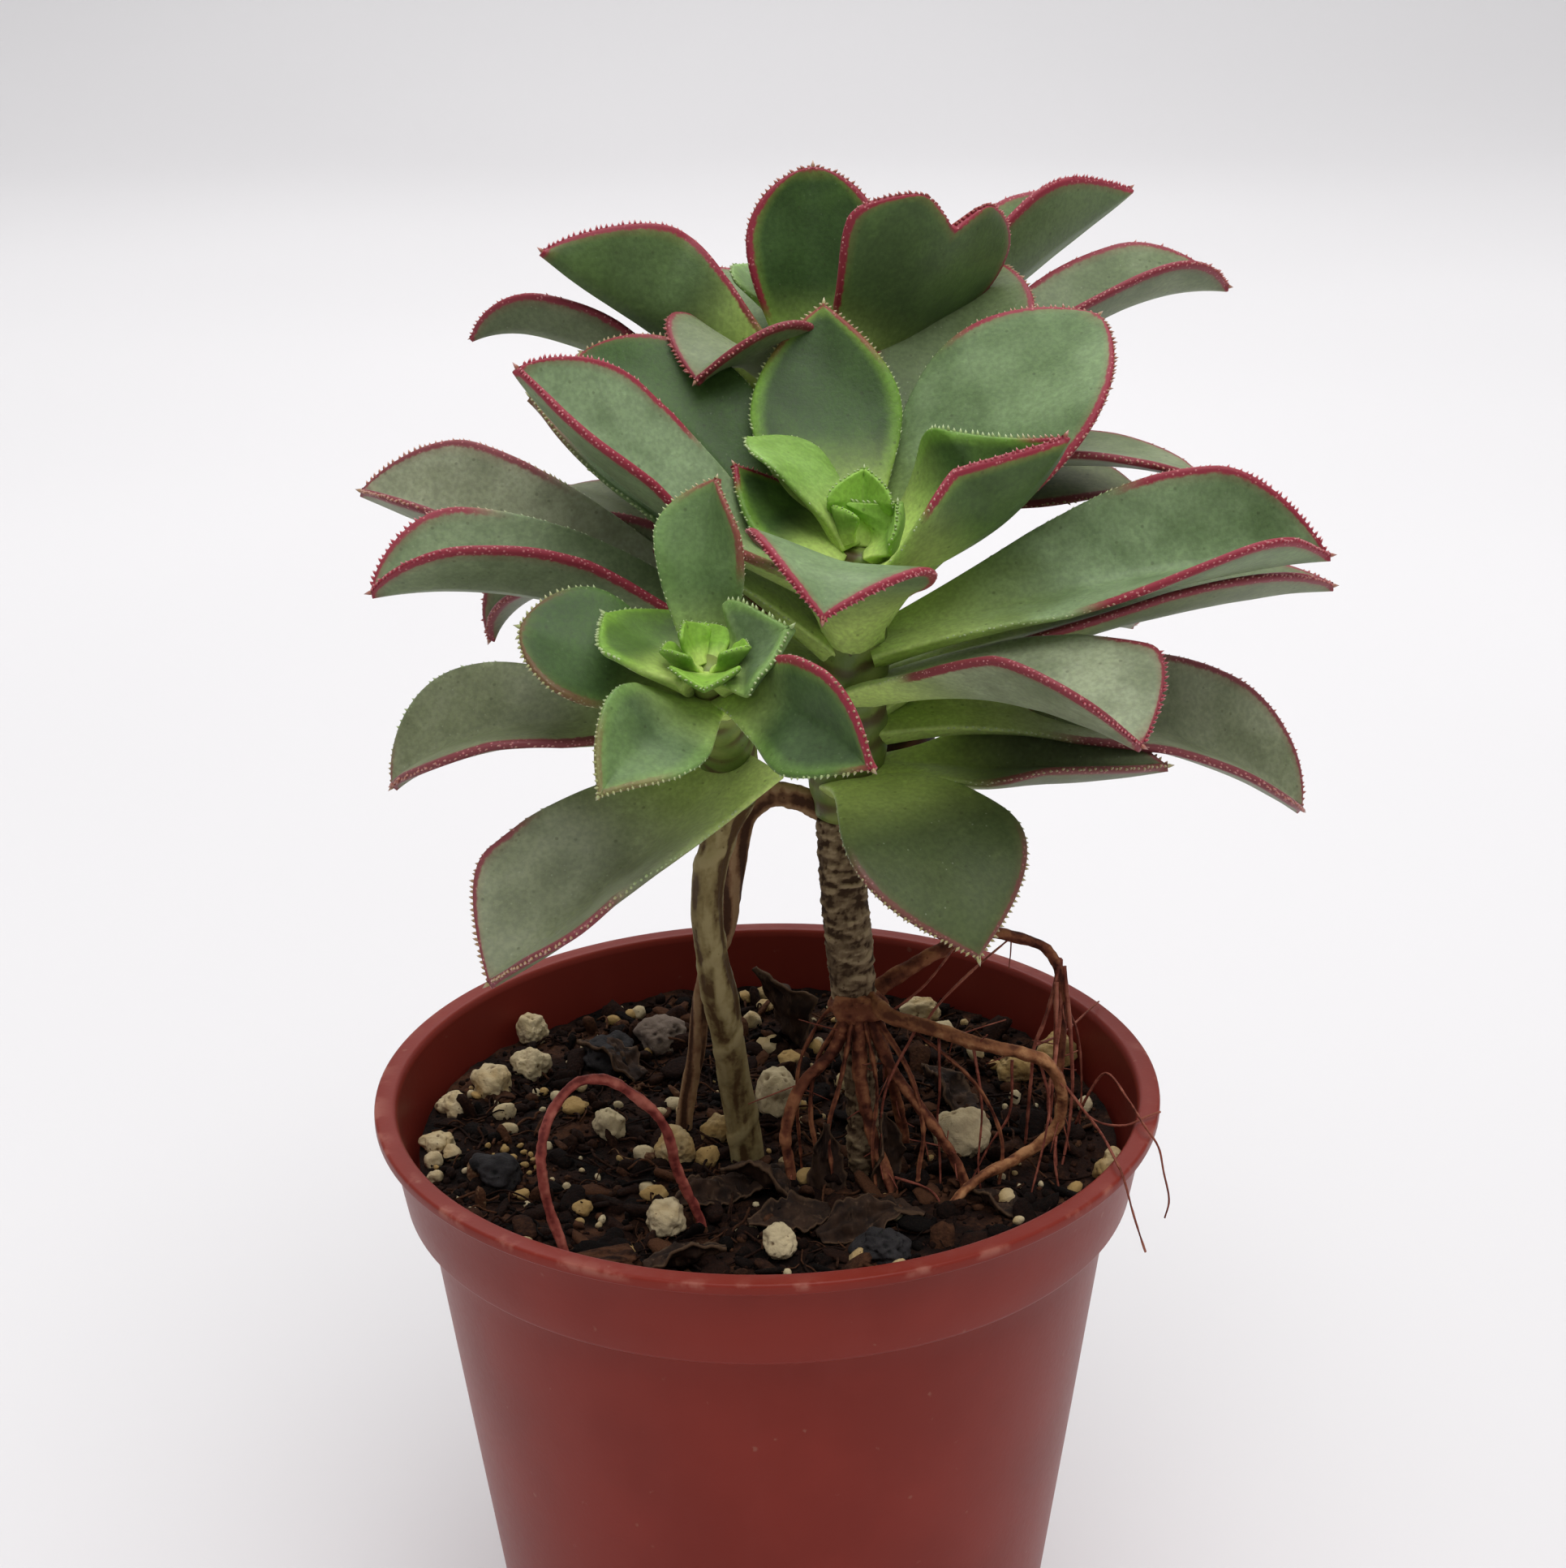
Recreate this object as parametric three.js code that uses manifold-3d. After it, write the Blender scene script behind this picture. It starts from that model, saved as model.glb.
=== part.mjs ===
// Potted aeonium: three leafy heads on woody stems, aerial roots, gritty soil
// and an 85 mm plastic nursery pot.  Millimetres, +Z up, -Y is the front,
// origin at the centre of the pot's flat base.
import * as THREE from 'three';
import { mergeVertices } from 'three/addons/utils/BufferGeometryUtils.js';
import Module from 'manifold-3d';

const wasm = await Module();
wasm.setup();
const { Manifold, Mesh } = wasm;

// ---------------------------------------------------------------- dimensions
const GAP = 0.32;              // clearance between neighbouring pieces

const POT_HEIGHT = 76;
const POT_LIP_R = 42.5;        // outer radius of the flat lip
const POT_LIP_RING = 2.1;      // width of the lip's flat top
const POT_LIP_THICK = 1.5;
const POT_BAND_TOP_R = 41.2;
const POT_BAND_LOW_R = 39.6;
const POT_BAND_Z = 65.0;       // lower edge of the band
const POT_BODY_TOP_R = 37.6;
const POT_BASE_R = 29.2;
const POT_WALL = 1.15;
const POT_FLOOR = 1.5;
const POT_SIDES = 42;
const DRAIN_R = 1.7;           // drain holes in the floor
const DRAIN_RING_R = 20;
const DRAIN_COUNT = 6;

const SOIL_Z = 69.4;           // mean level of the soil
const SOIL_SIDES = 28;
const SOIL_RINGS = [7, 14, 21, 28, 34.5];
const SOIL_GRIT = 6;           // small grains raised from the soil

const LEAF_THICK_BASE = 3.0;   // leaf thickness along the midrib
const LEAF_THICK_MID = 1.9;
const LEAF_THICK_TIP = 1.0;
const LEAF_EDGE = 0.8;         // thickness of the blunt leaf margin

// stem axes of the three heads: foot, mid and apex of a quadratic curve,
// and the radius of the green stem tip at its foot
const HEADS = {
  front: { pts: [[8.5, -2, 111], [9.5, -3.5, 127], [10.3, -6, 140]], r: 4.2, low: -0.1, neck: 2.9 },
  back: { pts: [[7.5, 18, 128], [6, 25, 143], [6, 29, 155]], r: 3.8, low: -0.1, neck: 2.8 },
  side: { pts: [[-3.2, -17, 120], [-4, -23, 127], [-5, -29.5, 134]], r: 3.0, low: -0.42, neck: 2.1 },
};

const STEM_TIP_END = 0.90;      // level at which the green stem tip ends

// Leaves: l level on the stem axis (0 foot, 1 apex), az heading in degrees,
// e0 and e1 elevation at root and tip, len and wide in mm, fold the V of the
// blade, roll its twist about the midrib, p how late it bends, sweep the
// change of heading, ra the side of the stem it grows from, out how far from
// its middle, fe where the fold is complete, base, peak and tip the outline,
// s the spacing of the sections.
const LEAVES = {
  front: [
    { n: 'F14', l: 0.20, az: 10, e0: 6, e1: -42, len: 51, wide: 18, fold: 33, roll: 29, p: 1.3, peak: 0.76, tip: 0.8 },
    { n: 'F15', l: 0.06, az: -6, e0: 0, e1: 6, len: 31, wide: 15, fold: 34, roll: 15, p: 1.7, base: 0.38, peak: 0.57 },
    { n: 'F13', l: 0.36, az: -34, e0: 20, e1: -20, len: 31.8, wide: 23.5, fold: 29, roll: -6, p: 1, base: 0.44, peak: 0.81, tip: 0.88 },
    { n: 'F16', l: 0.02, az: -62, e0: 23, e1: -61, len: 28.5, wide: 19, fold: 4, roll: 3, p: 0.85, base: 0.44, peak: 0.58, tip: 1.1 },
    { n: 'F7', l: 0.50, az: 4, e0: 16, e1: 1, len: 47.8, wide: 20.5, fold: 58, roll: 28, p: 1.6, base: 0.44, peak: 0.77, tip: 1.1, fe: 0.9 },
    { n: 'F7b', l: 0.36, az: 11, e0: 13, e1: -3, len: 50.5, wide: 15.5, fold: 24, roll: -4, p: 2.4, peak: 0.72, tip: 0.85, s: 2 },
    { n: 'F2', l: 0.62, az: 32, e0: 52, e1: 31, len: 39.7, wide: 21, fold: 8, roll: 20, p: 1.6, base: 0.38, peak: 0.65, tip: 0.69 },
    { n: 'F1', l: 0.82, az: 111, e0: 47, e1: 65, len: 29, wide: 15.6, fold: 4, roll: -6, p: 2, sweep: -26, base: 0.4, peak: 0.59, tip: 0.94 },
    { n: 'F22', l: 0.606, az: 67, ra: 80, e0: 41, e1: 30, len: 50, wide: 16.6, fold: 15, roll: 7, base: 0.35, peak: 0.78, tip: 0.75 },
    { n: 'F4', l: 0.46, az: 146, ra: 120, e0: 53, e1: 17, len: 43.5, wide: 17, fold: 23, roll: -19, p: 1.9, peak: 0.7, tip: 0.7 },
    { n: 'F3', l: 0.72, az: 186, e0: 26, e1: 53, len: 40, wide: 18.3, fold: 32, roll: -20, p: 1.4, base: 0.38, peak: 0.72, tip: 0.71 },
    { n: 'F3b', l: 0.50, az: 168, ra: 200, e0: 40, e1: 37, len: 40.2, wide: 14, fold: 20, roll: -17, s: 2 },
    { n: 'F5', l: 0.38, az: 170, ra: 150, e0: 21.5, e1: 15.5, len: 52.6, wide: 17, fold: 43, roll: -23, p: 3.6, peak: 0.82, tip: 0.82 },
    { n: 'F6', l: 0.28, az: 190, ra: 212, e0: 35.5, e1: -8, len: 49.8, wide: 15.6, fold: 50, roll: -7, p: 1.6, base: 0.41, peak: 0.82, tip: 0.79 },
    { n: 'F19', l: 0.20, az: 160, e0: 45, e1: -68, len: 46.5, wide: 13.5, fold: 42, roll: -38, p: 2, tip: 0.85, s: 2 },
    { n: 'F20', l: 0.28, az: 142, e0: 42, e1: 2, len: 41, wide: 16, fold: 15, tip: 0.8, s: 2 },
    { n: 'F8', l: 0.55, az: -98, e0: 56, e1: -38, len: 30.3, wide: 18.8, fold: 10, roll: -12, p: 1.7, peak: 0.56, tip: 1.15, fe: 1 },
    { n: 'F21', l: 0.26, az: 38, e0: 18, e1: -22, len: 40, wide: 15, fold: 15, tip: 0.8, s: 2 },
    { n: 'F24', l: 0.10, az: 130, e0: 12, e1: -32, len: 36, wide: 15, fold: 20, tip: 0.8, s: 2 },
    { n: 'F9', l: 0.80, az: -7, e0: 21, e1: 66, len: 24.3, wide: 22.4, fold: 60, roll: 11, p: 1.75, base: 0.7, peak: 0.42, s: 1 },
    { n: 'F10', l: 0.86, az: 160, e0: 24, e1: 59, len: 15.1, wide: 11, fold: 6, roll: -15, p: 2, base: 0.5, peak: 0.42, s: 1 },
    { n: 'F11', l: 0.90, az: 148, e0: 60, e1: 10, len: 16, wide: 11.5, fold: 8, roll: 5, p: 1.3, s: 1 },
    { n: 'F12a', l: 0.90, az: 80, e0: 80, e1: 86, len: 7.8, wide: 9, fold: 45, base: 0.5, s: 1 },
    { n: 'F12b', l: 0.88, az: -16, e0: 50, e1: 88, len: 6.2, wide: 10.5, fold: 38, roll: 50, base: 0.5, s: 1 },
    { n: 'F12c', l: 0.94, az: 190, e0: 60, e1: 70, len: 4, wide: 6, fold: 30, base: 0.5, s: 1 },
  ],
  back: [
    { n: 'B1', l: 0.66, az: 188, e0: 20, e1: 39, len: 32.2, wide: 19.5, fold: 56, roll: 42, p: 0.9, base: 0.5, peak: 0.64, tip: 0.82 },
    { n: 'B2', l: 0.38, az: 171, e0: 29.5, e1: -28, len: 40.5, wide: 9.5, fold: 48, roll: 19, p: 4.6, base: 0.38, peak: 0.8 },
    { n: 'B3', l: 0.60, az: 91, e0: 80, e1: 76, len: 25.2, wide: 15.6, fold: 19, roll: -1, base: 0.38, peak: 0.68, tip: 0.62 },
    { n: 'B4', l: 0.62, az: -17, ra: -60, e0: 43, e1: 68, len: 27.5, wide: 24.5, fold: 9, roll: -34, p: 1, base: 0.36, peak: 0.79, tip: 0.5 },
    { n: 'B5', l: 0.50, az: 31, ra: 90, e0: 28, e1: 28, len: 47.7, wide: 18.4, fold: 47, roll: -19, p: 1.2, peak: 0.72, tip: 1.1 },
    { n: 'B6', l: 0.30, az: 18, e0: 31, e1: -12, len: 51, wide: 14.8, fold: 38, roll: 4, p: 3.6, peak: 0.8, tip: 1.1 },
    { n: 'B8', l: 0.60, az: -128, e0: 44, e1: -32, len: 21.8, wide: 18.8, fold: 25, roll: 5, p: 1.9, base: 0.38, peak: 0.66, tip: 1.1 },
    { n: 'B10', l: 0.88, az: 140, e0: 34, e1: 30, len: 12, wide: 10, fold: 20, s: 1 },
    { n: 'B11', l: 0.16, az: -22, e0: 32, e1: -16, len: 41.5, wide: 15.5, fold: 8, roll: -4, tip: 0.8 },
    { n: 'B11b', l: 0.04, az: -2, e0: 41, e1: -21, len: 34, wide: 13.4, fold: 0, roll: 11, p: 1.3, tip: 0.85, s: 2 },
    { n: 'B12', l: 0.22, az: 84, e0: 40, e1: 0, len: 36, wide: 17, fold: 20, tip: 0.8, s: 2 },
    { n: 'B13', l: 0.34, az: 124, e0: 48, e1: 8, len: 34, wide: 16, fold: 20, tip: 0.8, s: 2 },
    { n: 'B14', l: 0.18, az: 146, e0: 34, e1: -16, len: 36, wide: 15, fold: 25, tip: 0.8, s: 2 },
    { n: 'B15', l: 0.04, az: 104, e0: 18, e1: -28, len: 36, wide: 15, fold: 22, tip: 0.8, s: 2 },
    { n: 'B16', l: 0.10, az: 48, e0: 24, e1: -28, len: 38, wide: 15, fold: 22, tip: 0.8, s: 2 },
    { n: 'B17', l: 0.74, az: -60, e0: 40, e1: 54, len: 5.5, wide: 6.5, fold: 30, base: 0.5, s: 1 },
    { n: 'B18', l: 0.78, az: 20, e0: 60, e1: 72, len: 5, wide: 6, fold: 30, base: 0.5, s: 1 },
    { n: 'B19', l: 0.78, az: 230, e0: 58, e1: 70, len: 5, wide: 6, fold: 30, base: 0.5, s: 1 },
  ],
  side: [
    { n: 'S1', l: 0.60, az: 123, e0: 82, e1: 68, len: 20.5, wide: 9.8, fold: 28, roll: 7, p: 1.6, sweep: -80, peak: 0.72 },
    { n: 'S2', l: 0.45, az: 176, e0: 31, e1: 17, len: 19.3, wide: 13, fold: 9, roll: -36, p: 1.6, base: 0.46, peak: 0.68, tip: 0.6 },
    { n: 'S3', l: 0.80, az: 153, e0: 15, e1: 38, len: 11.3, wide: 15.5, fold: 10, roll: 1, p: 1.2, base: 0.6, peak: 0.53, tip: 0.93, s: 1 },
    { n: 'S4', l: 0.60, az: 241, e0: 2, e1: -26, len: 19.8, wide: 11, fold: 20, roll: -36, p: 1.7, base: 0.5, peak: 0.54, tip: 1.1 },
    { n: 'S5', l: 0.60, az: -51, e0: 28, e1: -26, len: 22.3, wide: 12, fold: 31, roll: 68, p: 0.8, base: 0.38, peak: 0.68, tip: 1.1 },
    { n: 'S6', l: 0.80, az: -13, e0: 32, e1: 47, len: 8.8, wide: 12.5, fold: 28, roll: 40, p: 1.4, base: 0.45, peak: 0.46, tip: 1.1, s: 1 },
    { n: 'S7', l: 0.84, az: -92, e0: 12, e1: 2, len: 5.8, wide: 7.2, fold: 24, base: 0.5, s: 1 },
    { n: 'S8', l: 0.88, az: 95, e0: 44, e1: 52, len: 4.6, wide: 5.5, fold: 24, base: 0.5, s: 1 },
    { n: 'S9', l: 0.88, az: 200, e0: 30, e1: 44, len: 4.4, wide: 5, fold: 24, base: 0.5, s: 1 },
    { n: 'F17', l: 0, az: 208, ra: -35, out: 2, e0: -32, e1: -28, len: 33.3, wide: 22.5, fold: 32, roll: -6, p: 2.9, base: 0.63, peak: 0.74 },
    { n: 'F18', l: 0.20, az: 173, e0: 5, e1: -47, len: 33.5, wide: 14.4, fold: 32, roll: -26, p: 2.2, base: 0.4, peak: 0.71, tip: 0.87 },
  ],
};

// woody stems and roots: centre line points and radii along them
const TRUNK = { pts: [[10.3, -8.0, 62], [10.3, -8.0, 65.6], [10.3, -7.9, 70], [9.9, -5.4, 81], [9.2, -4.2, 90], [8.4, -3, 99], [8.3, -1.7, 107.3]],
  r: [1.7, 1.7, 1.7, 2.1, 2.5, 2.5, 2.8] };
const TRUNK_FORK = { pts: [[8.4, -2.9, 100.5], [11, 0.8, 105.5], [14.6, 6, 110.5], [15.6, 10, 115.5], [12.6, 14, 120.5], [8.06, 16.1, 124.25]],
  r: [2.3, 2.6, 2.9, 3.0, 2.9, 2.8] };
const SIDE_STEM = { pts: [[-2.3, -5.2, 62], [-2.3, -5.2, 65.6], [-2.3, -5.3, 70], [-3.5, -6.5, 79.4], [-4.5, -9, 89.2], [-5.0, -9.8, 92.4], [-5.8, -11.0, 100.4], [-5.4, -11.2, 105.5], [-4.2, -11.0, 109.8], [-2.53, -11.83, 113.8]],
  r: [1.8, 1.8, 1.8, 1.7, 1.65, 1.9, 1.6, 1.6, 1.7, 2.0] };
const DRIED_STEM = { pts: [[7.4, -0.8, 107.2], [3.8, 0.2, 108.9], [0.8, 0.6, 109.2], [-2.0, 1.0, 106.8], [-3.3, 1.5, 99.6], [-3.9, 1.8, 94], [-6.7, 2.0, 87.1], [-7.8, 2.0, 78], [-9.2, 1.6, 70.2], [-9.3, 1.6, 67], [-9.3, 1.6, 64]],
  r: [1.3, 1.3, 1.3, 1.2, 1.0, 0.9, 0.95, 0.9, 0.85, 0.85, 0.85] };
const ARCH_ROOT = { pts: [[-20.3, -26.3, 64], [-20.3, -26.3, 67], [-20.5, -26.2, 70], [-22.1, -25, 75.4], [-22.5, -24.5, 80.7], [-21.3, -24, 84.9], [-18.8, -23.5, 87.8], [-16.1, -22.5, 87.7], [-12.6, -21.5, 84.9], [-10.2, -21, 81.4], [-9.2, -20.4, 76.2], [-7.0, -20, 70], [-6.8, -20, 67], [-6.8, -20, 64]],
  r: [0.52] };
const TRUNK_ROOTS = [
  { pts: [[11, -5.6, 88.2], [12.8, -8, 87.5], [17.5, -9, 86.2], [21.7, -10, 85.1], [29.4, -10, 82.6], [31.2, -9.6, 78.8], [30.4, -9.6, 74.6], [27, -11, 72.4], [21, -15.8, 71.4], [17.6, -19.2, 68], [17.6, -19.2, 64.5]], r: [0.95, 0.85, 0.75, 0.7, 0.65, 0.6, 0.6, 0.55, 0.5, 0.45, 0.45] },
  { pts: [[9.9, -6.6, 88.3], [9.9, -9, 81.4], [11.1, -11, 74.8], [13.1, -13.8, 69.4], [13.2, -13.9, 64.5]], r: [0.9, 0.75, 0.65, 0.6, 0.5] },
  { pts: [[8.9, -6.2, 87.6], [7.3, -8, 83.8], [3.6, -10, 80.1], [2.0, -11.5, 76], [2.4, -12, 70.6], [2.4, -12, 64.5]], r: [0.8, 0.65, 0.6, 0.55, 0.5, 0.45] },
  { pts: [[10.8, -6.6, 86.8], [13.3, -9, 81.4], [18.0, -12.6, 75.9], [20.6, -13.4, 70.6], [20.7, -13.4, 64.5]], r: [0.7, 0.6, 0.55, 0.5, 0.45] },
  { pts: [[10.8, -3.2, 87.4], [13.6, -2, 88.9], [18.8, -1, 91.7], [23.2, 0, 93.1], [27.2, 0.6, 92.3], [30.3, 1, 90.7], [31.8, 1, 87.6], [32.2, 1, 82.9], [31.9, 0, 75.6], [31.8, -0.2, 64.5]], r: [1.0, 0.85, 0.7, 0.62, 0.58, 0.55, 0.45, 0.38, 0.36, 0.36] },
  { pts: [[11.4, -4.4, 87], [13.4, -4.0, 78], [14.8, -3.4, 70], [14.8, -3.4, 64.5]], r: [0.7, 0.6, 0.55, 0.5] },
];
const ROOT_COLLAR = { at: [9.8, -5.0, 87.2], r: [3.1, 3.2, 1.7] };

// stones on the soil: centre x, y, z and half sizes
const PUMICE = [
  [-31.6, 10.4, 70.6, 3.0, 2.4, 2.4], [-27.4, 14.6, 70.6, 2.6, 2.2, 2.2], [-27.8, 23.8, 70.6, 2.3, 2.0, 2.2],
  [-35.0, 5.0, 70.4, 1.9, 2.3, 2.0], [-35.8, -3.0, 70.2, 1.9, 1.9, 1.6], [-17.7, 0.5, 70.6, 2.0, 2.0, 2.2],
  [-9.9, -5.4, 70.6, 2.1, 2.2, 2.4], [-5.4, -1.0, 70.4, 1.9, 1.6, 1.9], [-10.4, -20.6, 70.8, 2.1, 1.9, 2.2],
  [1.3, -25.3, 70.4, 2.0, 1.8, 1.8], [1.2, 5.8, 71.0, 3.3, 3.0, 3.6], [20.8, -4.4, 71.0, 3.5, 3.2, 3.4],
  [28.2, 12.4, 70.6, 2.2, 2.0, 2.0], [33.4, 15.8, 71.2, 2.5, 2.2, 2.6], [18.6, 28.2, 70.6, 2.6, 2.0, 1.9],
  [36.6, -9.6, 70.2, 1.8, 1.8, 1.9],
];
const DARK_LUMPS = [
  [-29.0, -9.6, 70.2, 3.2, 3.0, 2.2], [-18.8, 18.2, 70.3, 4.2, 3.4, 2.3], [11.6, -26.4, 70.3, 3.6, 2.9, 2.3],
];
const GREY_LUMP = [-12.6, 22.8, 70.4, 3.4, 2.9, 2.2];
const BARK = [-17.2, -29.4, 70.3, 4.4, 1.9, 1.3];
// dead leaf scraps: root, heading, elevations, length, width
const SCRAPS = [
  { root: [5.6, 21.6, 66.5], az: 160, e0: 62, e1: 48, len: 14, wide: 6.4, fold: 25, roll: 60 },
  { root: [6.2, -12.4, 65], az: 250, e0: 84, e1: 100, len: 12, wide: 4.6, fold: 38, roll: 10 },
  { root: [2.6, -9.4, 69.6], az: 196, e0: 6, e1: 2, len: 9.5, wide: 6.6, fold: -14, roll: 8 },
  { root: [6.6, -18.4, 69.8], az: 196, e0: 2, e1: 4, len: 9, wide: 5.4, fold: 16, roll: -14 },
];

// ---------------------------------------------------------------- helpers
const D = Math.PI / 180;
const clamp = (v, a = 0, b = 1) => Math.min(b, Math.max(a, v));
const V = (a) => new THREE.Vector3(a[0], a[1], a[2]);
function rng(seed) {
  let s = seed >>> 0;
  return () => { s = (s + 0x6d2b79f5) >>> 0; let t = Math.imul(s ^ (s >>> 15), 1 | s);
    t = (t + Math.imul(t ^ (t >>> 7), 61 | t)) ^ t; return ((t ^ (t >>> 14)) >>> 0) / 4294967296; };
}

// closed skin through rings of equal point counts, ends closed by fans
function loft(rings) {
  const n = rings[0].length, pos = [], idx = [];
  for (const r of rings) for (const p of r) pos.push(p.x, p.y, p.z);
  for (let i = 0; i < rings.length - 1; i++) for (let j = 0; j < n; j++) {
    const a = i * n + j, b = i * n + (j + 1) % n, c = a + n, d = b + n;
    idx.push(a, b, d, a, d, c);
  }
  for (const [k, flip] of [[0, true], [rings.length - 1, false]]) {
    const c = new THREE.Vector3();
    for (const p of rings[k]) c.add(p);
    c.multiplyScalar(1 / n);
    const ci = pos.length / 3;
    pos.push(c.x, c.y, c.z);
    for (let j = 0; j < n; j++) {
      const a = k * n + j, b = k * n + (j + 1) % n;
      if (flip) idx.push(ci, b, a); else idx.push(ci, a, b);
    }
  }
  const g = new THREE.BufferGeometry();
  g.setAttribute('position', new THREE.Float32BufferAttribute(pos, 3));
  g.setIndex(idx);
  return g;
}

function solid(geometry) {
  let g = geometry.clone();
  for (const k of Object.keys(g.attributes)) if (k !== 'position') g.deleteAttribute(k);
  g = mergeVertices(g, 1e-4);
  const p = Float32Array.from(g.attributes.position.array), src = g.index.array, t = [];
  let vol = 0;
  for (let i = 0; i < src.length; i += 3) {
    const [a, b, c] = [src[i], src[i + 1], src[i + 2]];
    if (a === b || b === c || a === c) continue;
    t.push(a, b, c);
    const [A, B, C] = [a, b, c].map((k) => new THREE.Vector3(p[3 * k], p[3 * k + 1], p[3 * k + 2]));
    vol += A.dot(B.cross(C)) / 6;
  }
  if (vol < 0) for (let i = 0; i < t.length; i += 3) [t[i + 1], t[i + 2]] = [t[i + 2], t[i + 1]];
  return new Manifold(new Mesh({ numProp: 3, vertProperties: p, triVerts: Uint32Array.from(t) }));
}

const biggest = (m) => m.decompose().sort((a, b) => b.volume() - a.volume())[0];

function toGeometry(m) {
  const mesh = m.getMesh();
  const g = new THREE.BufferGeometry();
  g.setAttribute('position', new THREE.BufferAttribute(Float32Array.from(mesh.vertProperties), 3));
  g.setIndex(new THREE.BufferAttribute(Uint32Array.from(mesh.triVerts), 1));
  g.computeVertexNormals();
  return g;
}

// tapered tube along a smooth curve; rib(t, angle) scales the radius
function tube(spec, sides, steps, grow = 0, rib = null) {
  const curve = new THREE.CatmullRomCurve3(spec.pts.map(V), false, 'centripetal');
  const frames = curve.computeFrenetFrames(steps, false);
  const rings = [];
  for (let i = 0; i <= steps; i++) {
    const t = i / steps, u = t * (spec.r.length - 1), k = Math.min(spec.r.length - 2, Math.floor(u));
    const r0 = spec.r.length > 1 ? spec.r[k] + (spec.r[k + 1] - spec.r[k]) * (u - k) : spec.r[0];
    const c = curve.getPointAt(t), ring = [];
    for (let j = 0; j < sides; j++) {
      const a = (j / sides) * 2 * Math.PI;
      const r = r0 * (rib ? rib(t, a) : 1) + grow;
      ring.push(c.clone().addScaledVector(frames.normals[i], r * Math.cos(a)).addScaledVector(frames.binormals[i], r * Math.sin(a)));
    }
    rings.push(ring);
  }
  if (grow) {
    rings[0].forEach((p) => p.addScaledVector(frames.tangents[0], -grow));
    rings[steps].forEach((p) => p.addScaledVector(frames.tangents[steps], grow));
  }
  return solid(loft(rings));
}

// ---------------------------------------------------------------- leaves
function headAxis(h, l) {
  const [a, b, c] = h.pts.map(V);
  return a.multiplyScalar((1 - l) ** 2).addScaledVector(b, 2 * l * (1 - l)).addScaledVector(c, l * l);
}

// half width of the blade against t along it: narrow foot, broad shoulder, pointed tip
function outline(t, base, peak, tip) {
  if (t < peak) {
    const u = t / peak;
    return base + (1 - base) * (u * u * (3 - 2 * u)) ** 1.05;
  }
  return clamp(1 - clamp((t - peak) / (1 - peak)) ** 1.9) ** tip;
}

function leafSolid(q, root, grow = 0) {
  const { az, e0, e1, len, wide, fold = 15, roll = 0, p = 1.5, sweep = 0, base = 0.34, peak = 0.66, tip = 1, fe = 0.6, s = 0 } = q;
  const ts = [[0, 0.2, 0.4, 0.58, 0.74, 0.89, 1], [0, 0.3, 0.55, 0.78, 0.93, 1], [0, 0.25, 0.48, 0.68, 0.86, 1]][s];
  const n = 60, path = [root.clone()];
  for (let i = 0; i < n; i++) {
    const t = (i + 0.5) / n, e = (e0 + (e1 - e0) * t ** p) * D, a = (az + sweep * t) * D;
    path.push(path[i].clone().add(new THREE.Vector3(Math.cos(e) * Math.cos(a), Math.cos(e) * Math.sin(a), Math.sin(e)).multiplyScalar(len / n)));
  }
  const small = clamp(wide / 12, 0.55, 1);
  const rings = ts.map((t) => {
    const k = Math.min(n - 1, Math.floor(t * n)), P = path[k].clone().lerp(path[k + 1], t * n - k);
    const e = (e0 + (e1 - e0) * t ** p) * D, a = (az + sweep * t) * D;
    const T = new THREE.Vector3(Math.cos(e) * Math.cos(a), Math.cos(e) * Math.sin(a), Math.sin(e));
    const N = new THREE.Vector3(-Math.sin(e) * Math.cos(a), -Math.sin(e) * Math.sin(a), Math.cos(e));
    const S = T.clone().cross(N), rr = roll * clamp(t / 0.4) * D;
    const N2 = N.clone().multiplyScalar(Math.cos(rr)).addScaledVector(S, Math.sin(rr));
    const S2 = S.clone().multiplyScalar(Math.cos(rr)).addScaledVector(N, -Math.sin(rr));
    const w = Math.max(0.55, (wide / 2) * outline(t, base, peak, tip)) + grow;
    const f = (8 + (fold - 8) * clamp(t / fe)) * D;
    const th = (t < 0.5 ? LEAF_THICK_BASE + (LEAF_THICK_MID - LEAF_THICK_BASE) * (t / 0.5)
      : LEAF_THICK_MID + (LEAF_THICK_TIP - LEAF_THICK_MID) * ((t - 0.5) / 0.5)) * small;
    const ed = LEAF_EDGE * Math.max(0.8, small);
    const at = (u, h) => P.clone().addScaledVector(S2, w * u * Math.cos(f)).addScaledVector(N2, w * Math.abs(u) * Math.sin(f) + h);
    const up = (u) => (th * (1 - Math.abs(u)) + ed * Math.abs(u)) / 2 + grow;
    const upper = s ? [-1, 0, 1] : [-1, -0.5, 0, 0.5, 1];
    const top = upper.map((u) => at(u, u ? up(u) : up(0) * 0.8));
    return [...top, at(1, -up(1)), at(0, -up(0)), at(-1, -up(1))];
  });
  if (grow) { const a = (az + sweep) * D, e = e1 * D; rings[rings.length - 1].forEach((v) => v.add(new THREE.Vector3(Math.cos(e) * Math.cos(a), Math.cos(e) * Math.sin(a), Math.sin(e)).multiplyScalar(grow))); }
  return solid(loft(rings));
}

function leafRoot(h, q) {
  const a = (q.ra ?? q.az) * D, r = h.r * 0.5 * (1 - 0.5 * q.l) * (q.out ?? 1);
  return headAxis(h, q.l).add(new THREE.Vector3(r * Math.cos(a), r * Math.sin(a), 0));
}

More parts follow.
